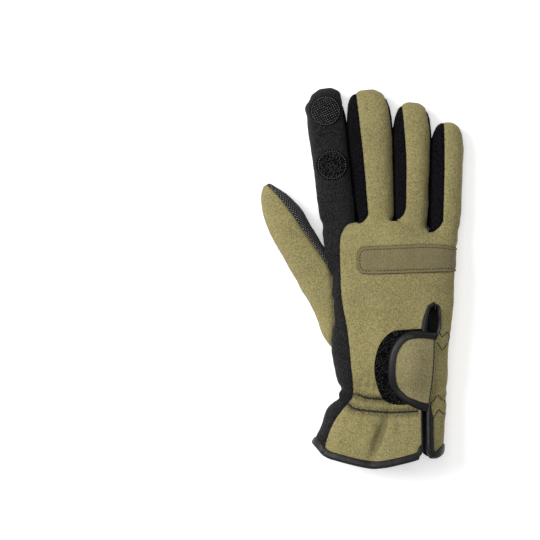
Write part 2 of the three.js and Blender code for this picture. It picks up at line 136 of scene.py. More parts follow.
@dataclass(frozen=True)
class ThumbSizes:
    """The thumb's sizes, in millimetres, and its rows in shares of them."""

    width: float = 28.0
    depth: float = 26.0
    length: float = 127.0
    lean: float = 27.5
    base: tuple[float, float] = (-27.3, 85.184)
    # along, radial, ulnar, depth, seam
    rows: Rows = (
        (-0.1, 0.35, 1.0, 0.55, 0.75),
        (-0.02, 0.7, 1.95, 0.82, 1.0),
        (0.1, 1.0, 2.5, 0.92, 1.05),
        (0.27, 0.87, 2.4, 0.94, 0.9),
        (0.42, 0.9, 1.7, 0.97, 0.83),
        (0.53, 0.955, 1.2, 0.99, 0.74),
        (0.65, 1.0, 1.05, 1.0, 0.6),
        (0.8, 0.97, 0.93, 0.93, 0.43),
        (0.9, 0.77, 0.67, 0.78, 0.27),
        (0.965, 0.5, 0.36, 0.52, 0.12),
        (1.0, 0.2, 0.15, 0.2, 0.0),
    )


@dataclass(frozen=True)
class ClothSizes:
    """The cloth's thickness and how it is drawn in at its seams, in millimetres."""

    thickness: float = 2.0
    seam_depth: float = 0.85
    seam_width: float = 2.3
    thumb_seam_depth: float = 1.1
    thumb_seam_width: float = 3.0
    voxel: float = 0.95


HAND = HandSizes()
THUMB = ThumbSizes()
CLOTH = ClothSizes()


# Geometry in plan


def smoothstep(low: float, high: float, value: Array) -> Array:
    """Eases from 0 to 1 between two values.

    Args:
        low: where it starts.
        high: where it ends.
        value: what is eased.

    Returns:
        The eased shares.
    """
    t = np.clip((np.asarray(value, float) - low) / (high - low), 0, 1)
    return t * t * (3 - 2 * t)


def bell(offset: Array, width: float) -> Array:
    """Gives a soft bump that is 1 at no offset and fades over a width."""
    return np.exp(-((offset / width) ** 2))


def table(rows: Rows, column: int, at: float) -> float:
    """Runs a smooth curve through one column of a table whose first column is the place.

    Args:
        rows: the table.
        column: which column.
        at: the place wanted.

    Returns:
        The column's value there.
    """
    xs = np.array([r[0] for r in rows], float)
    ys = np.array([r[column] for r in rows], float)
    slope = np.gradient(ys, xs)
    at = np.clip(at, xs[0], xs[-1])
    i = np.clip(np.searchsorted(xs, at, side="right") - 1, 0, len(xs) - 2)
    h = xs[i + 1] - xs[i]
    t = (at - xs[i]) / h
    low, high = 2 * t**3 - 3 * t**2 + 1, -2 * t**3 + 3 * t**2
    bend = (t**3 - 2 * t**2 + t) * slope[i] + (t**3 - t**2) * slope[i + 1]
    return float(low * ys[i] + high * ys[i + 1] + h * bend)


def stations(*spans: tuple[float, float, int]) -> Array:
    """Sets out places along a tube, from each span's start, end and count."""
    return np.concatenate([np.linspace(*span) for span in spans])


def spline(points: Iterable[Sequence[float]], steps: int) -> Array:
    """Runs a uniform Catmull-Rom curve through points.

    Args:
        points: the points that it passes.
        steps: how many equal steps it is cut into.

    Returns:
        The points on it.
    """
    p = np.array(list(points), float)
    n = len(p)
    out = []
    for s in range(steps + 1):
        place = (n - 1) * s / steps
        i = min(int(place), n - 2)
        t = place - i
        a, b, c, d = p[max(i - 1, 0)], p[i], p[i + 1], p[min(i + 2, n - 1)]
        v0, v1 = (c - a) / 2, (d - b) / 2
        out.append((2 * b - 2 * c + v0 + v1) * t**3 + (-3 * b + 3 * c - 2 * v0 - v1) * t**2 + v0 * t + b)
    return np.array(out)


def moved_aside(path: Array, distance: float) -> Array:
    """Moves a path sideways in plan.

    Args:
        path: its points.
        distance: how far to its left.

    Returns:
        The moved points.
    """
    way = np.gradient(path, axis=0)
    way /= np.maximum(np.linalg.norm(way, axis=1, keepdims=True), 1e-9)
    return path + distance * np.stack([-way[:, 1], way[:, 0]], 1)


def px(points: Points) -> Array:
    """Turns places in a frame of 0.7 mm steps, counted from the view's upper left, into the hand's."""
    return np.array([((x - 390) * 0.7, (467 - y) * 0.7) for x, y in points])


class Outline:
    """A closed outline in plan."""

    BATCH = 20000

    def __init__(self, points: Iterable[Sequence[float]]) -> None:
        """Takes its corners in order."""
        self.points = np.array([tuple(p)[:2] for p in points], float)

    def signed(self, co: Array) -> Array:
        """Measures how far places lie inside the outline.

        Args:
            co: places, of which x and y count.

        Returns:
            The distances, positive inside.
        """
        a = self.points
        b = np.roll(a, -1, axis=0)
        ab = b - a
        span = np.maximum((ab**2).sum(1), 1e-12)
        rise = np.where(np.abs(ab[:, 1]) < 1e-12, 1e-12, ab[:, 1])
        out = np.empty(len(co))
        for start in range(0, len(co), self.BATCH):
            p = co[start : start + self.BATCH, None, :2]
            t = np.clip(((p - a) * ab).sum(2) / span, 0, 1)
            gap = np.sqrt((((p - a) - t[..., None] * ab) ** 2).sum(2).min(1))
            y = p[..., 1]
            hit = ((a[:, 1] > y) != (b[:, 1] > y)) & (p[..., 0] < a[:, 0] + (y - a[:, 1]) * ab[:, 0] / rise)
            out[start : start + self.BATCH] = np.where(hit.sum(1) % 2 == 1, gap, -gap)
        return out


def beside(root: Sequence[float], way: Array, distance: float, aside: float) -> Array:
    """Places a point a distance along a way from its root, and aside to its right."""
    return np.array(root) + way * distance + aside * np.array([way[1], -way[0]])


class Plan:
    """Where everything lies in plan, from the named sizes."""

    def __init__(self) -> None:
        """Works out the fingers' roots and ways, the crotches and the thumb's way."""
        self.half = (sum(f.root_width for f in HAND.fingers) + 3 * HAND.finger_gap) / 2
        self.roots = self._side_by_side([f.root_width for f in HAND.fingers], 0)
        self.wides = self._side_by_side([f.width for f in HAND.fingers], HAND.fan_shift)
        self.ways = []
        for root, wide in zip(self.roots, self.wides):
            way = np.array([wide - root, HAND.spread_height])
            self.ways.append(way / np.linalg.norm(way))
        self.crotch_x = [
            self.roots[i] + (HAND.fingers[i].root_width + HAND.finger_gap) / 2 for i in range(3)
        ]
        lean = math.radians(THUMB.lean)
        self.thumb_way = np.array([-math.sin(lean), math.cos(lean)])

    @staticmethod
    def _side_by_side(widths: Sequence[float], shift: float) -> list[float]:
        """Sets fingers side by side.

        Args:
            widths: their widths.
            shift: where the middle of the row lies.

        Returns:
            Each finger's middle.
        """
        edge = shift - (sum(widths) + HAND.finger_gap * (len(widths) - 1)) / 2
        middles = []
        for width in widths:
            middles.append(edge + width / 2)
            edge += width + HAND.finger_gap
        return middles

    def across(self, share: float) -> float:
        """Turns a share of the half palm into millimetres."""
        return share * self.half

    def place(self, along: float, across: float) -> tuple[float, float]:
        """Places a point from its shares of the palm's length and half width."""
        return across * self.half, along * HAND.palm_length

    def on_finger(self, i: int, distance: float, aside: float) -> Array:
        """Places a point a distance along a finger from its root, and aside towards the little finger."""
        return beside((self.roots[i], HAND.palm_length), self.ways[i], distance, aside)

    def on_thumb(self, distance: float, aside: float) -> Array:
        """Places a point a distance along the thumb from its root, and aside towards the palm."""
        return beside(THUMB.base, self.thumb_way, distance, aside)

    def half_at(self, i: int, distance: float) -> float:
        """Gives half a finger's width.

        Args:
            i: which finger.
            distance: along it from its root.

        Returns:
            Half its width there.
        """
        f = HAND.fingers[i]
        share = min(max(distance / HAND.spread_height, 0), 1)
        return (f.root_width + (f.width - f.root_width) * share) / 2

    def drop(self, x: Array) -> Array:
        """Gives how far the hand's end lies below the finger roots at places across it."""
        return np.interp(x, self.crotch_x, HAND.crotch_drops)


PLAN = Plan()


# Regions of the cloth


def region(outline: Outline, low: float = -1e3, high: float = 1e3) -> Field:
    """Gives the upright region inside an outline, between two heights."""
    return lambda co: np.minimum(np.minimum(outline.signed(co), co[:, 2] - low), high - co[:, 2])


def either(*fields: Field) -> Field:
    """Gives the region of places in any of some regions."""
    return lambda co: np.max([f(co) for f in fields], axis=0)


def both(*fields: Field) -> Field:
    """Gives the region of places in all of some regions."""
    return lambda co: np.min([f(co) for f in fields], axis=0)


def grown(one: Field, distance: float) -> Field:
    """Grows a region by a distance."""
    return lambda co: one(co) + distance


def not_in(one: Field) -> Field:
    """Gives everything outside a region."""
    return lambda co: -one(co)


class Regions:
    """The pattern pieces of the glove, as regions of its form."""

    FAR = 100.0
    TALL = 72.0
    BELOW_CUFF = -0.1
    BELOW_ROOTS = -15.0
    PAST_TIP = 1.1
    # A finger's back: its thumb-side edge at root, middle and tip, and how low it reaches
    LOBES = {1: (-0.4, -0.42, -0.62, 14.0), 2: (-0.42, -0.35, -0.7, 14.0), 3: (-0.1, -0.14, -0.32, 7.0)}
    CROTCH_DIPS = (0.3, 2.0, 2.0)
    BACK_EDGE: Points = (
        (-0.08, -1.03), (0.091, -0.93), (0.187, -0.8), (0.258, -0.615), (0.294, -0.535), (0.425, -0.57),
        (0.544, -0.615), (0.663, -0.69), (0.782, -0.715), (0.901, -0.715), (0.948, -0.66), (0.972, -0.57),
        (0.982, -0.45),
    )
    GRIP_EDGE: Points = (
        (-0.08, 0.1), (0.2, 0.24), (0.3, 0.27), (0.6, 0.13), (0.74, 0.14), (0.82, 0.24), (0.855, 0.45),
        (0.86, 0.7),
    )
    CUFF_EDGE: Points = (
        (0.2, -1.6), (0.105, -1.13), (0.052, -0.94), (0.032, -0.74), (0.007, -0.36), (0.006, -0.1),
        (0.03, 0.29), (0.041, 0.4), (0.054, 0.452), (0.073, 0.476), (0.056, 0.508), (0.045, 0.56),
        (0.042, 0.64), (0.046, 0.69), (0.054, 0.73), (0.066, 0.78), (0.1, 0.95), (0.15, 1.3),
    )
    # along, across, half width
    SLIT: Rows = (
        (-0.1, 0.475, 0.2), (0.035, 0.482, 0.1), (0.06, 0.486, 0.058), (0.09, 0.488, 0.042),
        (0.22, 0.485, 0.042), (0.38, 0.488, 0.04), (0.46, 0.5, 0.042), (0.51, 0.56, 0.066),
        (0.55, 0.593, 0.098), (0.59, 0.605, 0.094), (0.62, 0.612, 0.078), (0.638, 0.618, 0.062),
    )
    # The knuckle band's rounded end, its upper edge and its lower one, in millimetres
    BAND_END: Points = (
        (-14, 134.9), (-19.6, 135.6), (-22.6, 138.6), (-23.6, 144.8), (-22.9, 150.6), (-19.4, 153.8),
        (-14, 154.5),
    )
    BAND_TOP: Points = (
        (-14, 154.5), (0, 155.0), (14, 155.6), (28.4, 156.0), (40, 155.0), (46.6, 153.8), (60, 152.6),
    )
    BAND_LOW: Points = ((60, 137.4), (46.1, 136.9), (20, 136.0), (-14, 134.9))

    def __init__(self) -> None:
        """Draws the outlines."""
        far, tall, low = self.FAR, self.TALL, self.BELOW_CUFF * HAND.palm_length
        self.lobes = [self._lobe(i) for i in self.LOBES]
        crotch = [
            (x, HAND.palm_length - drop - dip)
            for x, drop, dip in zip(PLAN.crotch_x, HAND.crotch_drops, self.CROTCH_DIPS)
        ]
        edge = self._edge(self.BACK_EDGE, 60)
        trunk_end = [(far, crotch[-1][1]), (far, low), PLAN.place(self.BELOW_CUFF, -1.03)]
        trunk = Outline([*edge, *crotch, *trunk_end])
        wedges = [region(self._wedge(i), HAND.side_seam, tall) for i in range(3)]
        self.back = either(region(trunk, HAND.side_seam, tall), *wedges, *self.lobes)
        self.fourchettes = [self._fourchette(i) for i in range(3)]
        self.grip_line = self._edge(self.GRIP_EDGE, 44)
        grip_end = (far, self.grip_line[-1][1])
        self.grip = region(Outline([*self.grip_line, grip_end, (far, low), PLAN.place(self.BELOW_CUFF, 0.1)]))
        self.cuff = region(Outline([*self._edge(self.CUFF_EDGE, 60), (far, -70), (-far, -70)]))
        self.slit_left, self.slit_right = self._slit_side(-1), self._slit_side(1)
        along, across, half = self.SLIT[-1]
        top = PLAN.place(along, across)
        crown = (top[0], top[1] + 0.6 * PLAN.across(half))
        slit = Outline([*self.slit_left, crown, *self.slit_right[::-1]])
        self.slit = region(slit, HAND.palm_depth / 2, tall)
        self.thumb_seam = spline(
            [PLAN.on_thumb(r[0] * THUMB.length, r[4] * THUMB.width / 2) for r in THUMB.rows], 50
        )
        before, after = -0.3 * THUMB.length, 1.2 * THUMB.length
        self.thumb_back = region(
            Outline(
                [
                    PLAN.on_thumb(before, 0.75 * THUMB.width / 2), *self.thumb_seam,
                    PLAN.on_thumb(after, 0), PLAN.on_thumb(after, -far), PLAN.on_thumb(before, -far),
                ]
            )
        )
        band = [spline(self.BAND_END, 26), spline(self.BAND_TOP, 24)[1:], spline(self.BAND_LOW, 20)[:-1]]
        self.band_line = np.concatenate(band)
        self.band = Outline(self.band_line)

    @staticmethod
    def _edge(shares: Points, steps: int) -> Array:
        """Runs an edge through points that are given in shares of the palm."""
        return spline([PLAN.place(*row) for row in shares], steps)

    def _wedge(self, i: int) -> Outline:
        """Outlines the cloth beside a crotch's point, which makes a V of the fourchette's end.

        Args:
            i: which crotch.

        Returns:
            Its outline.
        """
        low = HAND.palm_length - HAND.crotch_drops[i] - 0.6
        tip = np.array([PLAN.crotch_x[i] + 2.6, low])
        aside = self.LOBES[i + 1][0] * PLAN.half_at(i + 1, 0) + 0.4
        side = PLAN.on_finger(i + 1, 7 - HAND.crotch_drops[i], aside)
        bottom = [(side[0] + 4, low - 6), (tip[0] - 3.4, low - 6), (tip[0] - 3.4, low - 0.3)]
        return Outline([tip, (tip + side) / 2 + (0.8, -0.6), side, side + (4, 0), *bottom])

    def _lobe(self, i: int) -> Field:
        """Draws the olive back of one finger.

        Args:
            i: which finger.

        Returns:
            Its region.
        """
        f = HAND.fingers[i]
        root, middle, tip, height = self.LOBES[i]
        end = self.PAST_TIP * f.length
        reach = self.FAR if i == 3 else HAND.finger_gap / 2
        edge = [
            PLAN.on_finger(i, d, share * PLAN.half_at(i, d))
            for d, share in ((self.BELOW_ROOTS, root), (0.5 * f.length, middle), (end, tip))
        ]
        rims = [
            PLAN.on_finger(i, d, PLAN.half_at(i, d) + reach)
            for d in (end, HAND.spread_height, 0, self.BELOW_ROOTS)
        ]
        plan, root_place = Outline([*spline(edge, 16), *rims]), PLAN.on_finger(i, 0, 0)
        tip_height = 5.0

        def lobe(co: Array) -> Array:
            """Measures how deep places lie in the lobe, whose edge comes down round the tip."""
            along = (co[:, :2] - root_place) @ PLAN.ways[i] / f.length
            seam = height - (height - tip_height) * smoothstep(0.9, 0.965, along)
            return np.minimum(plan.signed(co), co[:, 2] - seam)

        return lobe

    def _fourchette(self, i: int) -> Field:
        """Draws the black wall between two fingers.

        Args:
            i: the finger on its thumb side.

        Returns:
            Its region.
        """
        f, after = HAND.fingers[i], HAND.fingers[i + 1]
        half, there, gap, low = PLAN.half_at, PLAN.on_finger, HAND.finger_gap / 2, -13
        near, end = (0.96, 0.9) if i == 0 else (0.3, self.PAST_TIP)
        last = self.PAST_TIP * after.length
        own = region(
            Outline(
                [
                    there(i, low, near * half(i, 0)),
                    there(i, end * f.length, near * half(i, f.length)),
                    there(i, end * f.length, half(i, f.length) + gap),
                    there(i + 1, last, -half(i + 1, after.length) - gap),
                    there(i + 1, last, -0.08 * half(i + 1, after.length)),
                    there(i + 1, low, -0.08 * half(i + 1, 0)),
                ]
            ),
            HAND.side_seam, self.TALL,
        )
        return own if i == 0 else both(own, not_in(self.lobes[i - 1]))

    def _slit_side(self, sign: int) -> Array:
        """Runs one edge of the slit: -1 for its left one, 1 for its right one."""
        return self._edge([(along, across + sign * half) for along, across, half in self.SLIT], 60)


REGIONS = Regions()


# The skin


def on_table(co: Array) -> Array:
    """Lifts places that lie under the table onto it."""
    return np.stack([co[..., 0], co[..., 1], np.maximum(co[..., 2], 0.0)], -1)


def islands(elements: Iterable, neighbours: Callable[[object], Iterable]) -> list[list]:
    """Groups a mesh's elements that hang together.

    Args:
        elements: them, with up-to-date indices.
        neighbours: gives those that hang on one.

    Returns:
        The groups.
    """
    seen: set[int] = set()
    groups = []
    for start in elements:
        if start.index in seen:
            continue
        seen.add(start.index)
        group, front = [], [start]
        while front:
            one = front.pop()
            group.append(one)
            for other in neighbours(one):
                if other.index not in seen:
                    seen.add(other.index)
                    front.append(other)
        groups.append(group)
    return groups


class Skin:
    """A surface in millimetres that is cut, pushed and taken apart."""

    def __init__(self, bm: BMesh) -> None:
        """Takes the surface."""
        self.bm = bm

    def copy(self) -> "Skin":
        """Copies it."""
        return Skin(self.bm.copy())

    def coords(self) -> Array:
        """Gives its vertices' places."""
        return np.array([v.co[:] for v in self.bm.verts], float).reshape(-1, 3)

    def normals(self) -> Array:
        """Gives its vertices' normals."""
        self.bm.normal_update()
        return np.array([v.normal[:] for v in self.bm.verts], float).reshape(-1, 3)

    def centres(self) -> Array:
        """Gives its faces' middles."""
        return np.array([f.calc_center_median()[:] for f in self.bm.faces], float).reshape(-1, 3)

    def place(self, co: Array) -> None:
        """Moves its vertices to new places."""
        for vert, at in zip(self.bm.verts, co):
            vert.co = at

    def mark(self, name: str, shares: Array) -> None:
        """Stores a share at each vertex, for the materials to read."""
        layer = self.bm.verts.layers.float.new(name)
        for vert, share in zip(self.bm.verts, shares):
            vert[layer] = float(share)

    def cut(self, one: Field) -> None:
        """Cuts its faces along a region's edge.

        Args:
            one: the region.
        """
        values = one(self.coords())
        self.bm.verts.index_update()
        shares = {}
        for edge in self.bm.edges:
            a, b = values[edge.verts[0].index], values[edge.verts[1].index]
            if (a > 0) != (b > 0):
                shares[edge] = float(min(max(a / (a - b), 0.03), 0.97))
        if not shares:
            return
        made = bmesh.ops.bisect_edges(self.bm, edges=list(shares), cuts=1, edge_percents=shares)
        verts = [g for g in made["geom_split"] if isinstance(g, bmesh.types.BMVert)]
        bmesh.ops.connect_verts(self.bm, verts=verts)

    def keep_faces(self, good: Iterable[bool]) -> "Skin":
        """Keeps only its good faces and gives the skin back."""
        out = [f for f, kept in zip(self.bm.faces, good) if not kept]
        bmesh.ops.delete(self.bm, geom=out, context="FACES")
        return self

    def keep(self, one: Field) -> "Skin":
        """Keeps only the faces whose middles lie in a region, and gives the skin back."""
        return self.keep_faces(one(self.centres()) > 0)

    def largest(self) -> "Skin":
        """Lets go of loose crumbs, and gives the skin back."""
        self.bm.verts.index_update()
        groups = islands(self.bm.verts, lambda vert: [edge.other_vert(vert) for edge in vert.link_edges])
        crumbs = [vert for group in sorted(groups, key=len)[:-1] for vert in group]
        bmesh.ops.delete(self.bm, geom=crumbs, context="VERTS")
        return self

    def without_loose(self) -> "Skin":
        """Deletes vertices that no face holds, and gives the skin back."""
        loose = [v for v in self.bm.verts if not v.link_faces]
        bmesh.ops.delete(self.bm, geom=loose, context="VERTS")
        return self

    def tree(self) -> BVHTree:
        """Gives a tree for finding places on it."""
        return BVHTree.FromBMesh(self.bm)

    def smooth(self, rounds: int, where: Field | None = None) -> None:
        """Smooths it.

        Args:
            rounds: how often.
            where: the region smoothed, or all.
        """
        verts = list(self.bm.verts)
        if where is not None:
            verts = [v for v, good in zip(verts, where(self.coords()) > 0) if good]
        for _ in range(rounds):
            bmesh.ops.smooth_vert(
                self.bm, verts=verts, factor=0.5, use_axis_x=True, use_axis_y=True, use_axis_z=True
            )


def linked(name: str, bm: BMesh) -> bpy.types.Object:
    """Makes an object of a mesh and puts it in the scene.

    Args:
        name: its name.
        bm: its mesh, which is freed.

    Returns:
        The object.
    """
    mesh = bpy.data.meshes.new(name)
    bm.to_mesh(mesh)
    bm.free()
    obj = bpy.data.objects.new(name, mesh)
    bpy.context.scene.collection.objects.link(obj)
    return obj


def with_modifier(obj: bpy.types.Object, kind: str, **settings: object) -> None:
    """Adds a modifier and applies it.

    Args:
        obj: the piece.
        kind: the modifier's type.
        settings: its properties.
    """
    modifier = obj.modifiers.new(kind.lower(), kind)
    for key, value in settings.items():
        setattr(modifier, key, value)
    graph = bpy.context.evaluated_depsgraph_get()
    mesh = bpy.data.meshes.new_from_object(obj.evaluated_get(graph), depsgraph=graph)
    old = obj.data
    obj.modifiers.clear()
    obj.data = mesh
    bpy.data.meshes.remove(old)
    mesh.name = obj.name


class Finish(Enum):
    """The record's material slots."""

    OLIVE = "olive_neoprene"
    BLACK = "black_neoprene"
    GRIP = "grip_cloth"
    BAND = "band_cloth"
    HOOK = "hook_tape"
    LOOP = "loop_tape"
    TAPE = "edge_tape"


def dress(
    name: str, bm: BMesh, materials: Sequence[Material],
    nodes: Sequence[str] = (), wall: float = 0.0,
) -> None:
    """Sets a finished mesh into the frame and tells the frame what it is.

    Args:
        name: the piece's name.
        bm: its mesh, in the glove's millimetres, which is freed.
        materials: its outer material, and the lining where it has a wall.
        nodes: the CAD nodes that it stands for.
        wall: how thick its cloth is made, inwards.
    """
    if not any(e.is_boundary for e in bm.edges):
        bmesh.ops.recalc_face_normals(bm, faces=bm.faces)
    piece = linked(name, bm)
    piece.data.transform(Matrix.Translation((*SHIFT, 0)) @ Matrix.Scale(MM, 4))
    for material in materials:
        piece.data.materials.append(material)
    piece.data.shade_smooth()
    if wall:
        with_modifier(
            piece, "SOLIDIFY", thickness=wall * MM, offset=-1.0, use_even_offset=False,
            material_offset=1, material_offset_rim=0, use_rim=True,
        )
    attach(piece, "root")
    if nodes:
        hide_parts(*nodes)
    log.info("%s: %d faces", name, len(piece.data.polygons))


# The glove's form


@dataclass(frozen=True)
class Swell:
    """Where a finger's side, 1 on the right and -1 on the left, stands out by a height in millimetres.

    Its peak and width are shares of the finger's length. More sharpness keeps it nearer the widest line.
    """

    finger: int
    side: int
    height: float
    peak: float
    width: float
    sharpness: int = 1

    def aside(self, a: float, c: Array) -> Array:
        """Gives how far a ring's points move, at a share of the length, from their cosines."""
        share = np.clip(self.side * c, 0, 1) ** self.sharpness
        return self.side * self.height * share * bell(a - self.peak, self.width)


@dataclass(frozen=True)
class FormMaker:
    """Blows up the glove's form: tubes of superellipse rings, melted together."""

    sides: int = 72
    stretch: float = 0.12
    centre: float = 1.9
    swells: tuple[Swell, ...] = (
        Swell(0, 1, 0.8, 0.93, 0.05),
        Swell(0, -1, 1.9, 0.872, 0.04, 2),
        Swell(1, -1, 1.1, 0.93, 0.08),
    )
    # The fuller side of the hand: height, place along and width, in millimetres
    hand_swells: Rows = ((1.3, 128, 20), (1.4, 66, 34))
    root_floor: float = 15.0
    roots: Points = ((-60, 158), (60, 152), (60, 176), (20, 190), (-60, 190))

    @staticmethod
    def bulge(value: Array) -> Array:
        """Moves sines or cosines onto the superellipse."""
        return np.sign(value) * np.abs(value) ** (2 / HAND.squareness)

    def angles(self) -> tuple[Array, Array]:
        """Gives the superellipse's cosines and sines."""
        turn = np.arange(self.sides) / self.sides * 2 * np.pi
        return self.bulge(np.cos(turn)), self.bulge(np.sin(turn))

    def tube(self, bm: BMesh, rings: Array) -> None:
        """Adds one closed tube.

        Args:
            bm: where to.
            rings: its points, ring by ring.
        """
        count, sides = rings.shape[:2]
        part = bmesh.new()
        bmesh.ops.create_grid(part, x_segments=sides, y_segments=count - 1, size=1)
        order = sorted(part.verts, key=lambda v: (round(v.co.y, 5), round(v.co.x, 5)))
        for k, vert in enumerate(order):
            ring, side = divmod(k, sides + 1)
            vert.co = rings[ring, side % sides]
        bmesh.ops.remove_doubles(part, verts=part.verts, dist=1e-5)
        bmesh.ops.holes_fill(part, edges=[e for e in part.edges if e.is_boundary], sides=0)
        bmesh.ops.recalc_face_normals(part, faces=part.faces)
        mesh = bpy.data.meshes.new("tube")
        part.to_mesh(mesh)
        part.free()
        bm.from_mesh(mesh)
        bpy.data.meshes.remove(mesh)

    def melt(self, bm: BMesh) -> Skin:
        """Melts overlapping tubes into one even skin.

        Args:
            bm: the tubes, which are freed.

        Returns:
            The skin.
        """
        obj = linked("form", bm)
        with_modifier(obj, "REMESH", mode="VOXEL", voxel_size=CLOTH.voxel, adaptivity=0.0)
        skin = bmesh.new()
        skin.from_mesh(obj.data)
        melted = obj.data
        bpy.data.objects.remove(obj)
        bpy.data.meshes.remove(melted)
        return Skin(skin)

    def hand_rings(self) -> Array:
        """Gives the palm's rings."""
        c, s = self.angles()
        rings = []
        for a in stations((-0.05, 0.24, 24), (0.25, 0.34, 20), (0.36, 1.0, 52)):
            radial, ulnar, floor, crown = (table(HAND.rows, k, a) for k in (1, 2, 3, 4))
            x = np.where(c > 0, ulnar, radial) * PLAN.half * c
            z = ((crown + floor) / 2 + s * (crown - floor) / 2) * HAND.palm_depth
            y = a * HAND.palm_length - float(smoothstep(0.78, 1, a)) * PLAN.drop(x)
            fuller = sum(
                height * bell(a * HAND.palm_length - peak, width) for height, peak, width in self.hand_swells
            )
            rings.append(np.stack([x + fuller * np.clip(c, 0, 1) ** 2, y, z], 1))
        return np.array(rings)

    def _filled(self, i: int, a: float, c: Array, s: Array, half: float) -> Array:
        """Fills out a finger's lower sides, so that its neighbour is met, and shapes its tip.

        Args:
            i: which finger.
            a: the share of its length.
            c: the ring's cosines.
            s: the ring's sines.
            half: half its width there.

        Returns:
            How far aside each of the ring's points lies.
        """
        low = smoothstep(-0.25, 0.4, -s)
        along = (0.7 + 0.5 * smoothstep(0.04, 0.16, a)) * (1 - smoothstep(0.8, 0.92, a))
        inner = (c > 0) * float(i < 3) + (c < 0) * float(i > 0)
        aside = half * c + np.sign(c) * low * along * inner * smoothstep(0, 0.35, np.abs(c))
        if i == 0:
            aside = aside * (1 + 0.2 * smoothstep(0.92, 1.0, a))
            aside = aside + 2.4 * smoothstep(0.88, 1.0, a) * (0.5 - 0.5 * np.clip(c, -1, 0.2))
        if i == 3:
            aside = aside + 0.9 * np.clip(c, 0, 1) ** 2 * (1 - smoothstep(0.6, 0.85, a))
        return aside + sum(swell.aside(a, c) for swell in self.swells if swell.finger == i)

    def finger_rings(self, i: int) -> Array:
        """Gives the rings of one finger."""
        f, way = HAND.fingers[i], PLAN.ways[i]
        c, s = self.angles()
        rings = []
        for a in stations((-0.22, 0.84, 36), (0.86, 1.0, 16)):
            root, width, depth, height = (table(HAND.finger_rows, k, a) for k in (1, 2, 3, 4))
            half = width * (f.width + (f.root_width - f.width) * root) / 2
            longer = 1.2 * float(smoothstep(0.85, 1.0, a)) * (i == 0)
            middle = PLAN.on_finger(i, a * f.length + longer, 0)
            aside = self._filled(i, float(a), c, s, half)
            z = height * f.depth + s * depth * f.depth / 2
            rings.append(np.stack([middle[0] + way[1] * aside, middle[1] - way[0] * aside, z], 1))
        return np.array(rings)

    def thumb_rings(self) -> Array:
        """Gives the thumb's rings."""
        c, s = self.angles()
        way = PLAN.thumb_way
        rings = []
        for a in stations((-0.1, 0.82, 50), (0.84, 1.0, 16)):
            radial, ulnar, depth = (table(THUMB.rows, k, a) for k in (1, 2, 3))
            aside = np.where(c > 0, ulnar, radial) * THUMB.width / 2 * c
            middle = PLAN.on_thumb(a * THUMB.length, 0)
            z = 0.475 * THUMB.depth + s * depth * THUMB.depth / 2
            rings.append(np.stack([middle[0] + way[1] * aside, middle[1] - way[0] * aside, z], 1))
        return np.array(rings)

    @staticmethod
    def _eased(co: Array) -> Array:
        """Gives how far the fingers are spread: 0 in the palm, 1 from their roots on."""
        return smoothstep(154, 175, co[..., 1])

    def spread(self, rings: Array, i: int | None) -> Array:
        """Moves the fingers apart, so that melting doesn't join them.

        Args:
            rings: a tube's points.
            i: which finger, or None for the palm.

        Returns:
            The moved points.
        """
        out = rings.copy()
        away = (rings[..., 0] if i is None else PLAN.roots[i]) - self.centre
        out[..., 0] += self._eased(rings) * self.stretch * away
        return on_table(out)

    def gather(self, co: Array) -> Array:
        """Brings the fingers back together after melting.

        Args:
            co: the spread places.

        Returns:
            The true places.
        """
        eased = self._eased(co)
        x, y = co[:, 0], co[:, 1]
        share = (y - HAND.palm_length) / HAND.spread_height
        finger = np.zeros(len(co), int)
        for i, root in enumerate(PLAN.crotch_x):
            wide = PLAN.wides[i] + (HAND.fingers[i].width + HAND.finger_gap) / 2
            away = (PLAN.roots[i] + PLAN.roots[i + 1]) / 2 - self.centre
            finger += x > root + (wide - root) * share + eased * self.stretch * away
        apart = x - eased * self.stretch * (np.array(PLAN.roots)[finger] - self.centre)
        whole = (x + eased * self.stretch * self.centre) / (1 + self.stretch * eased)
        crotch = HAND.palm_length - PLAN.drop(whole)
        share = smoothstep(-2.0, 3.0, y - crotch)
        out = co.copy()
        out[:, 0] = whole + (apart - whole) * share
        return out

    def hand(self) -> Skin:
        """Makes the palm with its four fingers."""
        bm = bmesh.new()
        self.tube(bm, self.spread(self.hand_rings(), None))
        for i in range(len(HAND.fingers)):
            self.tube(bm, self.spread(self.finger_rings(i), i))
        skin = self.melt(bm)
        skin.smooth(3)
        skin.smooth(14, region(Outline(self.roots), self.root_floor, ANY_HEIGHT))
        skin.place(self.gather(skin.coords()))
        return skin

    def thumb(self) -> Skin:
        """Makes the thumb."""
        bm = bmesh.new()
        self.tube(bm, on_table(self.thumb_rings()))
        skin = self.melt(bm)
        skin.smooth(3)
        return skin


# Materials


def tone(red: float, green: float, blue: float) -> Colour:
    """Turns a display colour, from 0 to 255, into the shader's linear one."""
    share = [c / 255 for c in (red, green, blue)]
    return (*(c / 12.92 if c <= 0.04045 else ((c + 0.055) / 1.055) ** 2.4 for c in share), 1.0)


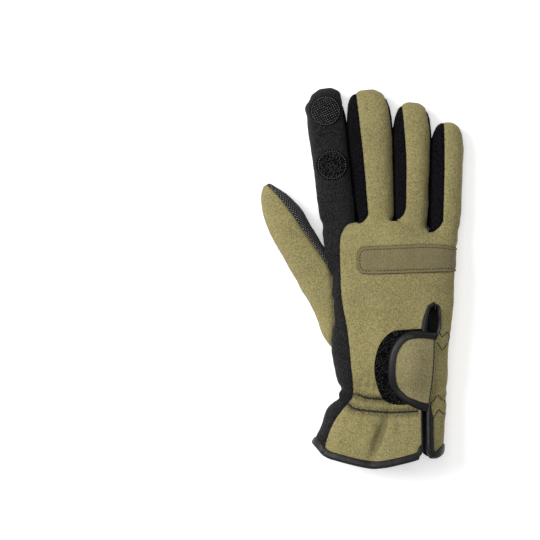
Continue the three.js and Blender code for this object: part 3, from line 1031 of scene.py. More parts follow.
class Signal:
    """A shader socket that can be reckoned with."""

    def __init__(self, graph: "Graph", socket: bpy.types.NodeSocket) -> None:
        """Takes the material's nodes and one of their outputs."""
        self.graph, self.socket = graph, socket

    def _math(self, operation: str, *values: "Signal | float") -> "Signal":
        """Adds a Math node for some values."""
        return self.graph.node("ShaderNodeMath", {"operation": operation}, dict(enumerate(values)))

    def __add__(self, other: "Signal | float") -> "Signal":
        """Adds."""
        return self._math("ADD", self, other)

    def __sub__(self, other: "Signal | float") -> "Signal":
        """Subtracts."""
        return self._math("SUBTRACT", self, other)

    def __rsub__(self, other: float) -> "Signal":
        """Subtracts from a number."""
        return self._math("SUBTRACT", other, self)

    def __mul__(self, other: "Signal | float") -> "Signal":
        """Multiplies."""
        return self._math("MULTIPLY", self, other)

    def __pow__(self, other: float) -> "Signal":
        """Raises to a power."""
        return self._math("POWER", self, other)

    __radd__ = __add__
    __rmul__ = __mul__

    def wave(self) -> "Signal":
        """Gives a sine wave from 0 to 1."""
        return self._math("SINE", self) * 0.5 + 0.5

    def sine(self) -> "Signal":
        """Gives its sine."""
        return self._math("SINE", self)

    def least(self, other: "Signal | float") -> "Signal":
        """Gives the smaller of it and another."""
        return self._math("MINIMUM", self, other)

    def size(self) -> "Signal":
        """Gives its absolute value."""
        return self._math("ABSOLUTE", self)

    def repeat(self, period: float) -> "Signal":
        """Gives the distance from the nearest end of its period."""
        return self._math("PINGPONG", self, period / 2)

    def over(self, low: float, high: float) -> "Signal":
        """Eases from 0 at its low value to 1 at its high one."""
        limits = {"Value": self, "From Min": low, "From Max": high}
        return self.graph.node("ShaderNodeMapRange", {"interpolation_type": "SMOOTHSTEP"}, limits)


class Graph:
    """A material's nodes, with its places in millimetres."""

    def __init__(self, name: str) -> None:
        """Starts a material of that name."""
        self.material = bpy.data.materials.new(name)
        self.material.use_nodes = True
        self.tree = self.material.node_tree
        self.tree.nodes.clear()
        self.output = self.tree.nodes.new("ShaderNodeOutputMaterial")
        coords = self.node("ShaderNodeTexCoord", out="Object")
        self.place = self.node("ShaderNodeVectorMath", {"operation": "SCALE"}, {0: coords, "Scale": 1 / MM})

    def node(
        self, kind: str, settings: dict[str, object] | None = None,
        inputs: dict[int | str, object] | None = None, out: int | str = 0,
    ) -> Signal:
        """Adds a node.

        Args:
            kind: its type.
            settings: its properties, which are set first.
            inputs: a signal to link or a constant to set, for each of its sockets that is used.
            out: which of its outputs is wanted.

        Returns:
            That output.
        """
        node = self.tree.nodes.new(kind)
        for key, value in (settings or {}).items():
            setattr(node, key, value)
        for key, value in (inputs or {}).items():
            if isinstance(value, Signal):
                self.tree.links.new(value.socket, node.inputs[key])
            else:
                node.inputs[key].default_value = value
        return Signal(self, node.outputs[out])

    def axes(self, turn: float = 0.0) -> tuple[Signal, ...]:
        """Gives the place's x, y and z.

        Args:
            turn: degrees that they are turned about Z.

        Returns:
            The three signals.
        """
        place = self.place
        if turn:
            angle = {"Vector": place, "Angle": math.radians(turn)}
            place = self.node("ShaderNodeVectorRotate", {"rotation_type": "Z_AXIS"}, angle)
        x = self.node("ShaderNodeSeparateXYZ", {}, {0: place})
        return tuple(Signal(self, out) for out in x.socket.node.outputs)

    def scaled(self, size: float, stretch: tuple[float, ...] = (1, 1, 1)) -> Signal:
        """Gives the place in steps of a size, stretched along each axis."""
        scale = [1 / (size * s) for s in stretch]
        return self.node("ShaderNodeMapping", {}, {"Scale": scale, "Vector": self.place})

    def noise(
        self, size: float, detail: float = 2.0, rough: float = 0.5, stretch: tuple[float, ...] = (1, 1, 1)
    ) -> Signal:
        """Gives noise from 0 to 1.

        Args:
            size: the size of its blots, in millimetres.
            detail: how many finer layers.
            rough: how strong those are.
            stretch: how much longer along each axis.

        Returns:
            The noise.
        """
        place = self.scaled(size, stretch)
        inputs = {"Scale": 1, "Detail": detail, "Roughness": rough, "Vector": place}
        return self.node("ShaderNodeTexNoise", {}, inputs)

    def cells(self, size: float) -> Signal:
        """Gives the distance from the nearest cell's point, in cells of a size."""
        return self.node("ShaderNodeTexVoronoi", {}, {"Scale": 1, "Vector": self.scaled(size)})

    def attribute(self, name: str) -> Signal:
        """Gives a vertex attribute."""
        return self.node("ShaderNodeAttribute", {"attribute_name": name}, out="Fac")

    def mix(self, share: Signal | float, low: Signal | Colour, high: Signal | Colour) -> Signal:
        """Mixes two colours by a share."""
        return self.node("ShaderNodeMix", {"data_type": "RGBA"}, {0: share, 6: low, 7: high}, 2)

    def finish(
        self, colour: Signal | Colour, roughness: Signal | float, height: Signal | None = None,
        depth: float = 0.1, sheen: float = 0.0, specular: float = 0.3, glow: float = 0.0,
    ) -> Material:
        """Finishes the material.

        Args:
            colour: the base colour.
            roughness: the roughness.
            height: the bump's height, from 0 to 1.
            depth: the bump's depth in millimetres.
            sheen: the cloth's sheen.
            specular: the specular level.
            glow: how much white light it gives off.

        Returns:
            The material.
        """
        inputs = {
            "Base Color": colour, "Roughness": roughness, "Specular IOR Level": specular,
            "Sheen Weight": sheen, "Sheen Roughness": 0.6,
        }
        if height is not None:
            bump = {"Strength": 1, "Distance": depth * MM, "Height": height}
            inputs["Normal"] = self.node("ShaderNodeBump", {}, bump)
        if glow:
            inputs |= {"Emission Color": (1, 1, 1, 1), "Emission Strength": glow}
        shader = self.node("ShaderNodeBsdfPrincipled", {}, inputs)
        self.tree.links.new(shader.socket, self.output.inputs["Surface"])
        return self.material


@dataclass(frozen=True)
class Lining:
    """The dark ribbed lining inside."""

    name: str = "lining"
    dark: Colour = tone(30, 30, 31)
    light: Colour = tone(46, 46, 48)

    def mixed(self) -> Material:
        """Mixes the material."""
        g = Graph(self.name)
        x, _, _ = g.axes()
        colour = g.mix(g.noise(0.8, 3), self.dark, self.light)
        return g.finish(colour, 0.9, (x * 4.2).wave() * 0.4 + g.noise(0.7) * 0.6, 0.12)


@dataclass(frozen=True)
class Heather:
    """A knitted face laminated on foam, with flecks, pale wear, and painted shade in its seams, creases and
    gathers.

    Its depth is the knit's, its grain the size of a fleck, and its shine the light that it throws back.
    """

    name: str
    dark: Colour
    light: Colour
    # deep: the colour of the painted shade in seams, creases and gathers
    deep: Colour
    depth: float
    grain: float
    shine: float = 0.14

    def mixed(self) -> Material:
        """Mixes the material."""
        g = Graph(self.name)
        x, _, z = g.axes()
        fleck = g.noise(self.grain, 4, 0.72)
        yarn = g.noise(self.grain * 0.62, 1, 0.5, (1, 2.2, 1.5))
        wales = ((x + z * 0.6) * 7.2).wave()
        cloud = g.noise(24, 2, 0.5)
        shade = (fleck - 0.5) * 2.3 + (yarn - 0.5) * 1.6 + (cloud - 0.5) * 0.5 + (wales - 0.5) * 0.1 + 0.5
        colour = g.mix(shade.over(-0.1, 1.1), self.dark, self.light)
        # Painted shade: the seam share darkens the colour towards the deep tone in seams, creases, stitch
        # lines and round the band
        seam = g.attribute("seam") * (g.noise(1.4, 2) * 0.5 + 0.75)
        colour = g.mix(seam.over(0.12, 1.15), colour, self.deep)
        # Painted shade in the gathers' puckers, besides their bump
        pucker_and_painted_shade = g.attribute("gathers") * g.noise(1.9, 1, 0.5, (1, 0.11, 0.4)).over(0.47, 0.6)
        colour = g.mix(pucker_and_painted_shade * 0.8, colour, self.deep)
        height = fleck * 0.45 + yarn * 0.35 + wales * 0.12 + g.noise(3.2, 2) * 0.5 - pucker_and_painted_shade * 1.5
        rough = g.noise(1.6, 2) * 0.12 + 0.82
        return g.finish(colour, rough, height, self.depth, sheen=0.28 * self.shine, specular=self.shine)


@dataclass(frozen=True)
class GripCloth:
    """Black cloth printed with staggered rubber dots, whose print is turned by some degrees."""

    name: str
    turn: float
    middle: float
    pitch: float = 2.4
    dark: Colour = tone(13, 13, 14)
    light: Colour = tone(36, 36, 38)
    # deep: the colour of the painted shade at the seams
    deep: Colour = tone(5, 5, 6)
    rubber: Colour = tone(150, 151, 155)

    def mixed(self) -> Material:
        """Mixes the material."""
        g = Graph(self.name)
        x, y, z = g.axes(self.turn)
        u = x - (z - self.middle).size()
        centres = []
        for shift in (0, self.pitch / 2):
            a, b = (u + shift, y + shift) if shift else (u, y)
            centres.append((a.repeat(self.pitch) ** 2 + b.repeat(self.pitch) ** 2) ** 0.5)
        dot = 1 - centres[0].least(centres[1]).over(0.3, 0.52)
        worn = g.noise(1.1, 3).over(0.25, 0.5)
        cloth = g.mix(g.noise(0.7, 4, 0.7).over(0.25, 0.75), self.dark, self.light)
        # Painted shade at the seams, from the seam share
        cloth = g.mix(g.attribute("seam").over(0.15, 1.1), cloth, self.deep)
        colour = g.mix(dot * (worn * 0.4 + 0.3), cloth, self.rubber)
        height = dot * 0.7 + g.noise(0.7, 3) * 0.3
        return g.finish(colour, 0.86 - dot * 0.4, height, 0.22, sheen=0.02, specular=0.2)


@dataclass(frozen=True)
class LoopTape:
    """The nap of loop tape, with curls of some size."""

    name: str = "loop_tape"
    dark: Colour = tone(1, 1, 2)
    light: Colour = tone(10, 10, 11)
    curl: float = 1.1

    def mixed(self) -> Material:
        """Mixes the material."""
        g = Graph(self.name)
        curls = 1 - g.cells(self.curl)
        fibre = g.noise(self.curl * 0.55, 4, 0.75)
        colour = g.mix((curls * 0.5 + fibre * 0.7 - 0.35).over(0.0, 0.75), self.dark, self.light)
        return g.finish(colour, 0.9, curls * 0.6 + fibre * 0.6, 0.5, specular=0.08)


@dataclass(frozen=True)
class HookTape:
    """Hook tape: a woven ground with rows of stiff little hooks."""

    name: str = "hook_tape"
    dark: Colour = tone(1, 1, 2)
    light: Colour = tone(24, 24, 25)

    def mixed(self) -> Material:
        """Mixes the material."""
        g = Graph(self.name)
        x, y, _ = g.axes()
        across = (x * 5.6 + (g.noise(3.0) - 0.5) * 3.0).sine()
        along = (y * 5.0 + (g.noise(2.4) - 0.5) * 3.0).sine()
        rows = across * along * 0.5 + 0.5
        fibre = g.noise(0.6, 4, 0.75)
        colour = g.mix((rows * 0.7 + fibre * 0.9 - 0.3).over(0.2, 0.95), self.dark, self.light)
        return g.finish(colour, 0.8, rows * 0.6 + fibre * 0.5, 0.45, specular=0.12)


@dataclass(frozen=True)
class EdgeTape:
    """Satin edge tape with its fine ribs and soft highlights."""

    name: str = "edge_tape"
    dark: Colour = tone(6, 6, 7)
    light: Colour = tone(24, 24, 25)

    def mixed(self) -> Material:
        """Mixes the material."""
        g = Graph(self.name)
        x, y, _ = g.axes()
        ribs = ((x + y * 0.35) * 6.3).sine() * ((y - x * 0.2) * 6.6).sine() * 0.5 + 0.5
        soft = g.noise(4.5, 2)
        shade = ribs * 0.45 + g.noise(0.8, 3, 0.7) * 0.8 - 0.1 + (soft - 0.5) * 0.5
        colour = g.mix(shade.over(0.1, 1.0), self.dark, self.light)
        return g.finish(colour, soft * 0.18 + 0.4, ribs * 0.5 + g.noise(0.9, 2) * 0.4, 0.07, specular=0.34)


@dataclass(frozen=True)
class Thread:
    """Twisted sewing thread."""

    name: str
    dark: Colour
    light: Colour

    def mixed(self) -> Material:
        """Mixes the material."""
        g = Graph(self.name)
        x, _, z = g.axes(35)
        twist = ((x + z) * 16).wave()
        colour = g.mix((twist * 0.6 + g.noise(0.7, 2) * 0.5).over(0.1, 1.0), self.dark, self.light)
        return g.finish(colour, 0.55, twist, 0.06, specular=0.4)


@dataclass(frozen=True)
class Palette:
    """The materials that the pieces are made of."""

    olive: Material
    tab: Material
    black: Material
    side: Material
    band: Material
    grip: Material
    thumb_grip: Material
    lining: Material
    loop: Material
    hook: Material
    tape: Material
    thread: Material
    tan_thread: Material
    tuft: Material
    nap: Material

    @classmethod
    def mixed(cls) -> "Palette":
        """Mixes all of them."""
        # The olive's painted shade in seams, creases and gathers; every Heather's fourth colour is its
        # painted shade
        deep = tone(62, 57, 38)
        finishes = dict(
            olive=Heather("olive_neoprene", tone(112, 104, 68), tone(160, 150, 103), deep, 0.22, 0.95),
            tab=Heather("tab_neoprene", tone(112, 104, 73), tone(158, 148, 108), deep, 0.18, 0.9),
            black=Heather("black_neoprene", tone(1, 1, 1), tone(41, 41, 42), tone(3, 3, 4), 0.38, 1.15),
            # The fourchettes' black neoprene, made darker than the palm's with painted shade between the
            # fingers
            side=Heather("side_neoprene_painted_shade", tone(1, 1, 2), tone(24, 22, 26), tone(1, 1, 1), 0.3, 1.1, 0.03),
            band=Heather("band_cloth", tone(104, 96, 68), tone(132, 123, 89), tone(56, 52, 37), 0.12, 0.75),
            grip=GripCloth("grip_cloth", 0, 60),
            thumb_grip=GripCloth("thumb_grip_cloth", -THUMB.lean, 12.3),
            lining=Lining(),
            loop=LoopTape(),
            hook=HookTape(),
            tape=EdgeTape(),
            thread=Thread("black_thread", tone(5, 5, 6), tone(34, 34, 36)),
            tan_thread=Thread("olive_thread", tone(30, 27, 19), tone(66, 60, 43)),
            tuft=Thread("tuft_thread", tone(22, 22, 23), tone(140, 140, 143)),
            nap=Thread("nap_thread", tone(2, 2, 3), tone(118, 118, 121)),
        )
        return cls(**{role: finish.mixed() for role, finish in finishes.items()})


# The hand's cloth


def unevenness(co: Array, size: float, seed: int) -> Array:
    """Makes soft waves in no order.

    Args:
        co: places.
        size: about how long a wave is.
        seed: which waves.

    Returns:
        Values from about -1 to 1.
    """
    random = np.random.default_rng(seed)
    total = np.zeros(len(co))
    for _ in range(7):
        way = random.normal(size=3)
        way *= 2 * np.pi / size / np.linalg.norm(way) * random.uniform(0.6, 1.5)
        total += np.sin(co @ way + random.uniform(0, 6.28))
    return total / 2.6


def line_distance(line: Array, co: Array) -> tuple[Array, Array]:
    """Measures how far places in plan lie from an open line.

    Args:
        line: its points.
        co: the places.

    Returns:
        The distance, and how far along the line the nearest point is.
    """
    a, b = line[:-1], line[1:]
    ab = b - a
    span = np.linalg.norm(ab, axis=1)
    start = np.concatenate([[0], np.cumsum(span)[:-1]])
    best, along = np.full(len(co), 1e9), np.zeros(len(co))
    for k in range(len(a)):
        t = np.clip(((co[:, :2] - a[k]) @ ab[k]) / span[k] ** 2, 0, 1)
        gap = np.linalg.norm(co[:, :2] - a[k] - t[:, None] * ab[k], axis=1)
        near = gap < best
        best[near], along[near] = gap[near], (start[k] + t * span[k])[near]
    return best, along


def valley(distance: Array, width: float) -> Array:
    """Gives a share that is 1 in a seam and 0 beyond the width that it draws in."""
    return np.clip(1 - distance / width, 0, 1) ** 2


def tree_distance(tree: BVHTree, co: Array) -> Array:
    """Measures how far places lie from a surface."""
    return np.array([tree.find_nearest(Vector(c))[3] for c in co])


class WristLines:
    """The elastic's two stitch lines on the back and in the palm."""

    STEPS = 40
    UPPER: Points = ((-40, 52), (-23.1, 51.1), (-17, 48.9), (-5, 47.9), (8, 47.7), (19, 47.6))
    LOWER: Points = ((-40, 49.5), (-30.8, 45.5), (-24.5, 41.2), (-10, 39.4), (3.5, 38.9), (19, 39.7))
    PALM_UPPER: Points = ((-42, 55), (-20, 54.6), (5, 54), (28, 53), (44, 52))
    PALM_LOWER: Points = ((-42, 47), (-20, 46.6), (5, 46), (28, 45.4), (44, 45))

    def __init__(self) -> None:
        """Runs the lines through their points."""
        rows = (self.UPPER, self.LOWER, self.PALM_UPPER, self.PALM_LOWER)
        self.upper, self.lower, self.palm_upper, self.palm_lower = (spline(row, self.STEPS) for row in rows)


WRIST = WristLines()


class Panel(IntEnum):
    """Which panel a face of the hand belongs to. Each finger's fourchette is its number plus 1."""

    OPEN = -1
    BACK = 0
    INDEX_MIDDLE = 1
    MIDDLE_RING = 2
    RING_LITTLE = 3
    PALM = 4
    GRIP = 5


@dataclass
class HandCloth:
    """The skins of the hand and the thumb, with their seams and creases.

    Each crease is given as x, y, length, width, depth and turn, in millimetres and degrees.
    """

    creases: Rows = (
        (-7.0, 24, 18, 3.4, 2.9, -21),
        (-10.5, 20, 13, 4.5, 1.0, -14),
        (-30, 23, 14, 5, 1.0, 15),
        (6, 30, 9, 3.0, 0.7, 8),
        (-10.5, 57, 7, 1.3, 1.0, 4),
        (-7.6, 55, 6, 1.0, 0.9, 16),
        (-14, 62, 9, 2.0, 0.7, -8),
        (-20, 59, 7, 1.8, 0.8, -20),
        (-3.8, 58, 5, 1.2, 0.6, 12),
        (-22, 47, 5, 1.2, 0.8, 10),
        (14, 120, 16, 7, 0.7, 70),
        (-16, 96, 24, 8, 0.7, 14),
    )
    palm_creases: Rows = (
        (-20, 92, 26, 3.4, 1.3, 18),
        (-8, 78, 30, 3.0, 1.2, 8),
        (4, 84, 34, 3.2, 1.3, -3),
        (16, 76, 26, 2.8, 1.0, -9),
        (-30, 76, 18, 3.0, 1.0, 30),
        (2, 128, 3.4, 24, 0.9, 8),
        (-12, 142, 3.0, 20, 0.8, -10),
        (-4, 24, 20, 3.6, 1.0, 12),
        (20, 24, 18, 3.2, 0.9, -10),
    )
    pleat: float = 3.1
    palm_pleat: float = 3.4
    stitch_width: float = 2.4
    beside_slit: tuple[float, float] = (19.0, 21.0)
    under_closure: Points = ((-25, 22), (52, 22), (52, 112), (-25, 112))

    def __post_init__(self) -> None:
        """Makes the forms and cuts them into their panels."""
        maker = FormMaker()
        self.whole = maker.hand()
        thumb_whole = maker.thumb()
        self.hand_tree, self.thumb_tree = self.whole.tree(), thumb_whole.tree()
        self.cut = self.whole.copy()
        for one in (REGIONS.cuff, REGIONS.slit, REGIONS.back, *REGIONS.fourchettes, REGIONS.grip):
            self.cut.cut(one)
        self.labels = self._settled(self._labels(self.cut.centres()))
        self.seams = self._seams()
        self.calm = self.whole.copy()
        self.calm.smooth(90, region(Outline(self.under_closure), 15, ANY_HEIGHT))
        self.thumb_cut = thumb_whole.copy()
        self.thumb_cut.cut(REGIONS.thumb_back)
        for skin in (self.whole, self.cut):
            self._press(skin)
        self._press_thumb(self.thumb_cut)
        self.top = self.whole.tree()
        log.info("hand's cloth: %d faces", len(self.cut.bm.faces))
        log.info("thumb's cloth: %d faces", len(self.thumb_cut.bm.faces))

    @staticmethod
    def _labels(co: Array) -> list[int]:
        """Tells which panel each place belongs to."""
        labels = np.where(REGIONS.grip(co) > 0, int(Panel.GRIP), int(Panel.PALM))
        for i in (2, 1, 0):
            labels[REGIONS.fourchettes[i](co) > 0] = i + 1
        labels[REGIONS.back(co) > 0] = Panel.BACK
        labels[(REGIONS.cuff(co) > 0) | (REGIONS.slit(co) > 0)] = Panel.OPEN
        return [int(label) for label in labels]

    def _settled(self, labels: list[int]) -> list[int]:
        """Gives the back's and the palm's stray islands to the panel round them.

        Args:
            labels: each face's panel.

        Returns:
            The labels without islands.
        """
        self.cut.bm.faces.index_update()
        around = [[f.index for edge in face.edges for f in edge.link_faces] for face in self.cut.bm.faces]
        faces = list(self.cut.bm.faces)
        groups = islands(
            faces, lambda face: [faces[k] for k in around[face.index] if labels[k] == labels[face.index]]
        )
        found = []
        largest: dict[int, int] = {}
        for group in groups:
            own = labels[group[0].index]
            largest[own] = max(largest.get(own, 0), len(group))
            found.append((own, group, [labels[k] for face in group for k in around[face.index]]))
        for own, group, rim in found:
            if own in (Panel.BACK, Panel.PALM) and len(group) < largest[own]:
                sewn = [label for label in rim if label not in (own, Panel.OPEN)]
                most = max(dict.fromkeys(sewn), key=sewn.count) if sewn else int(Panel.OPEN)
                for face in group:
                    labels[face.index] = most
        return labels

    def _seams(self) -> KDTree:
        """Finds the edges where two panels meet, and gives a tree of their middles."""
        self.cut.bm.faces.index_update()
        ends = []
        for edge in self.cut.bm.edges:
            if len(edge.link_faces) == 2:
                a, b = (self.labels[f.index] for f in edge.link_faces)
                if a != b and Panel.OPEN not in (a, b):
                    ends.append((edge.verts[0].co + edge.verts[1].co) / 2)
        tree = KDTree(len(ends))
        for k, co in enumerate(ends):
            tree.insert(co, k)
        tree.balance()
        return tree

    @staticmethod
    def _dents(co: Array, dents: Rows) -> Array:
        """Adds up creases.

        Args:
            co: places.
            dents: the creases.

        Returns:
            How deep the cloth is creased at each place.
        """
        total = np.zeros(len(co))
        for x, y, length, width, depth, turn in dents:
            angle = math.radians(turn)
            dx, dy = co[:, 0] - x, co[:, 1] - y
            side = dx * math.cos(angle) + dy * math.sin(angle)
            lengthwise = -dx * math.sin(angle) + dy * math.cos(angle)
            total += depth * np.exp(-((side / width) ** 2) - (lengthwise / length) ** 2)
        return total

    def _gathered(
        self, co: Array, upper: Array, lower: Array, pleat: float
    ) -> tuple[Array, Array, Array]:
        """Draws the cloth in along the elastic's two lines and gathers it between and beside them.

        Args:
            co: places.
            upper: the upper stitch line.
            lower: the lower one.
            pleat: how wide a gather is.

        Returns:
            How far each place is pushed out, and its distance from each line.
        """
        high, s = line_distance(upper, co)
        low, _ = line_distance(lower, co)
        top = np.interp(co[:, 0], upper[:, 0], upper[:, 1])
        bottom = np.interp(co[:, 0], lower[:, 0], lower[:, 1])
        between = smoothstep(0, 1.5, top - co[:, 1]) * smoothstep(0, 1.5, co[:, 1] - bottom)
        beyond = np.exp(-np.minimum(high, low) / 4.0)
        wave = np.sin(2 * np.pi * s / pleat + 1.8 * unevenness(co, 18, 3))
        pleats = (0.5 * between + 0.22 * beyond) * (0.4 - 1.4 * np.abs(wave) ** 3)
        return pleats - valley(high, self.stitch_width) - valley(low, self.stitch_width), high, low

    def _press(self, skin: Skin) -> None:
        """Draws the hand's cloth in at its seams, gathers and creases it, and stores painted shade where it
        is drawn in, round the band's edge and in the cuff's fold.

        Args:
            skin: the whole hand, or its panels.
        """
        co, normal = skin.coords(), skin.normals()
        seam = np.array([self.seams.find(c)[2] for c in co])
        thumb = np.full(len(co), 1e3)
        near = (co[:, 0] < -15) & (co[:, 1] < 140)
        thumb[near] = tree_distance(self.thumb_tree, co[near])
        push = -CLOTH.seam_depth * valley(seam, CLOTH.seam_width)
        push -= CLOTH.thumb_seam_depth * valley(thumb, CLOTH.thumb_seam_width)
        back = smoothstep(-0.1, 0.4, normal[:, 2])
        palm = smoothstep(-0.1, 0.4, -normal[:, 2])
        gathers, high, low = self._gathered(co, WRIST.upper, WRIST.lower, self.pleat)
        push += back * (1 - smoothstep(*self.beside_slit, co[:, 0])) * gathers
        push += palm * self._gathered(co, WRIST.palm_upper, WRIST.palm_lower, self.palm_pleat)[0]
        push -= back * self._dents(co, self.creases) + palm * self._dents(co, self.palm_creases) * 0.8
        push += 0.22 * unevenness(co, 26, 7) + 0.09 * unevenness(co, 9, 11)
        skin.place(on_table(co + normal * push[:, None]))
        co = skin.coords()
        upwards = normal[:, 2] > 0
        # Painted shade goes along the wrist's stitch lines, round the band's edge as a contact shadow, and
        # into the cuff's fold on the upper side
        line = np.where(upwards & (co[:, 0] < 20), np.minimum(high, low), 9.0)
        band = np.abs(REGIONS.band.signed(co)) + 9 * (normal[:, 2] < 0)
        fold = np.clip(0.25 * self._dents(co, self.creases[:2]), 0, 0.6) * upwards
        # Painted shade: seam valleys, where the thumb meets the hand, round the band's edge, along the
        # wrist's stitch lines and in the cuff's fold, stored as the seam share
        painted_shade_marks = [valley(seam, 1.5), valley(thumb, 2.2), 0.9 * valley(band, 1.7), valley(line, 2.6), fold]
        skin.mark("seam", np.max(painted_shade_marks, axis=0))
        # The gathers share puts painted shade in the puckers, as well as their bump
        skin.mark("gathers", bell(line, 3.2))

    def _press_thumb(self, skin: Skin) -> None:
        """Draws the thumb's cloth in at its seam and where it meets the hand, and stores painted shade there.
        """
        co, normal = skin.coords(), skin.normals()
        line, _ = line_distance(REGIONS.thumb_seam, co)
        seam = np.where(np.abs(normal[:, 2]) > 0.15, line, 9.0)
        hand = tree_distance(self.hand_tree, co)
        push = -CLOTH.seam_depth * valley(seam, CLOTH.seam_width)
        push -= CLOTH.thumb_seam_depth * valley(hand, CLOTH.thumb_seam_width)
        push += 0.22 * unevenness(co, 22, 5) + 0.08 * unevenness(co, 8, 9)
        skin.place(on_table(co + normal * push[:, None]))
        # Painted shade in the thumb's seam and where it meets the hand, stored as the seam share
        skin.mark("seam", np.maximum(valley(seam, 1.5), valley(hand, 2.4)))


# The sub-assemblies


@dataclass
class SubAssembly:
    """Pieces that are made on the hand's cloth and dressed from the palette."""

    cloth: HandCloth
    palette: Palette


@dataclass
class Panels(SubAssembly):
    """The hand's panels and the thumb's, sewn edge to edge, and the gussets in the crotches."""

    quirk: tuple[float, float, float] = (2.7, 8.5, 5.0)
    quirk_height: float = 8.0
    quirk_reach: float = 3.5
    fold_depth: float = 1.6
    fold_width: float = 0.7
    thumb_overlap: float = 2.0

    def build(self) -> None:
        """Cuts the panels out and gives them their cloth."""
        # side: the black neoprene darkened with painted shade, for the fourchettes and the gussets
        palette, side = self.palette, self.palette.side
        for label, name, material, finish in (
            (Panel.BACK, "back_panel", palette.olive, Finish.OLIVE),
            (Panel.INDEX_MIDDLE, "fourchette_index_middle", side, Finish.BLACK),
            (Panel.MIDDLE_RING, "fourchette_middle_ring", side, Finish.BLACK),
            (Panel.RING_LITTLE, "fourchette_ring_little", side, Finish.BLACK),
            (Panel.PALM, "palm_panel", palette.black, Finish.BLACK),
            (Panel.GRIP, "palm_grip", palette.grip, Finish.GRIP),
        ):
            skin = self.cloth.cut.copy().keep_faces(own == label for own in self.cloth.labels)
            self._sew(name, skin, material, finish)
        for name, one, material, finish in (
            ("thumb_back", REGIONS.thumb_back, palette.olive, Finish.OLIVE),
            ("thumb_palm", not_in(REGIONS.thumb_back), palette.thumb_grip, Finish.GRIP),
        ):
            skin = self.cloth.thumb_cut.copy().keep(one).keep(self._outside_hand).largest()
            self._sew(name, skin, material, finish)
        dress("finger_quirks", self._quirks(), [side])

    def _sew(self, name: str, skin: Skin, material: Material, finish: Finish) -> None:
        """Gives a panel its cloth wall and its lining.

        Args:
            name: its CAD node.
            skin: its outer face.
            material: its outer material.
            finish: its slot; not used.
        """
        materials = [material, self.palette.lining]
        dress(f"{name}_cloth", skin.without_loose().bm, materials, [name], CLOTH.thickness)

    def _outside_hand(self, co: Array) -> Array:
        """Measures how far places lie outside the hand, which the thumb is sunk into a little.

        Args:
            co: the places.

        Returns:
            The distances, positive where the thumb's cloth is kept.
        """
        out = []
        for c in co:
            near, normal, _, gap = self.cloth.top.find_nearest(Vector(c))
            out.append(gap if (Vector(c) - near).dot(normal) > 0 else -gap)
        return np.array(out) + self.thumb_overlap

    def _quirks(self) -> BMesh:
        """Folds a small gusset into the bottom of each crotch.

        Returns:
            Their mesh.
        """
        bm = bmesh.new()
        for i, x in enumerate(PLAN.crotch_x):
            way = (PLAN.ways[i] + PLAN.ways[i + 1]) / 2
            turn = Matrix.Rotation(-math.atan2(way[0], way[1]), 4, "Z")
            y = HAND.palm_length - HAND.crotch_drops[i] + self.quirk_reach
            place = Matrix.Translation((x + self.quirk_reach * way[0], y, self.quirk_height)) @ turn
            made = bmesh.ops.create_uvsphere(
                bm, u_segments=32, v_segments=20, radius=1, matrix=place @ Matrix.Diagonal((*self.quirk, 1))
            )
            back = place.inverted()
            for vert in made["verts"]:
                here = back @ vert.co
                fold = math.exp(-((here.x / self.fold_width) ** 2)) * (here.z > 0)
                vert.co.z -= self.fold_depth * fold + 0.25 * math.sin(1.7 * here.y) * fold
        for vert in bm.verts:
            vert.co.z = max(vert.co.z, 1.0)
        return bm


def rounding(depth: Array, radius: float) -> Array:
    """Gives the share of the full height at a depth inside an edge that is rounded by a radius."""
    return np.sqrt(np.maximum(1 - (1 - np.clip(depth / radius, 0, 1)) ** 2, 0))


def gradient(one: Field, co: Array) -> Array:
    """Finds the ways in plan that lead deeper into a region.

    Args:
        one: the region.
        co: places.

    Returns:
        The way at each of them.
    """
    step = 0.2
    out = np.zeros_like(co)
    for axis in (0, 1):
        shift = np.zeros(3)
        shift[axis] = step
        out[:, axis] = one(co + shift) - one(co - shift)
    return out / np.maximum(np.linalg.norm(out, axis=1, keepdims=True), 1e-9)


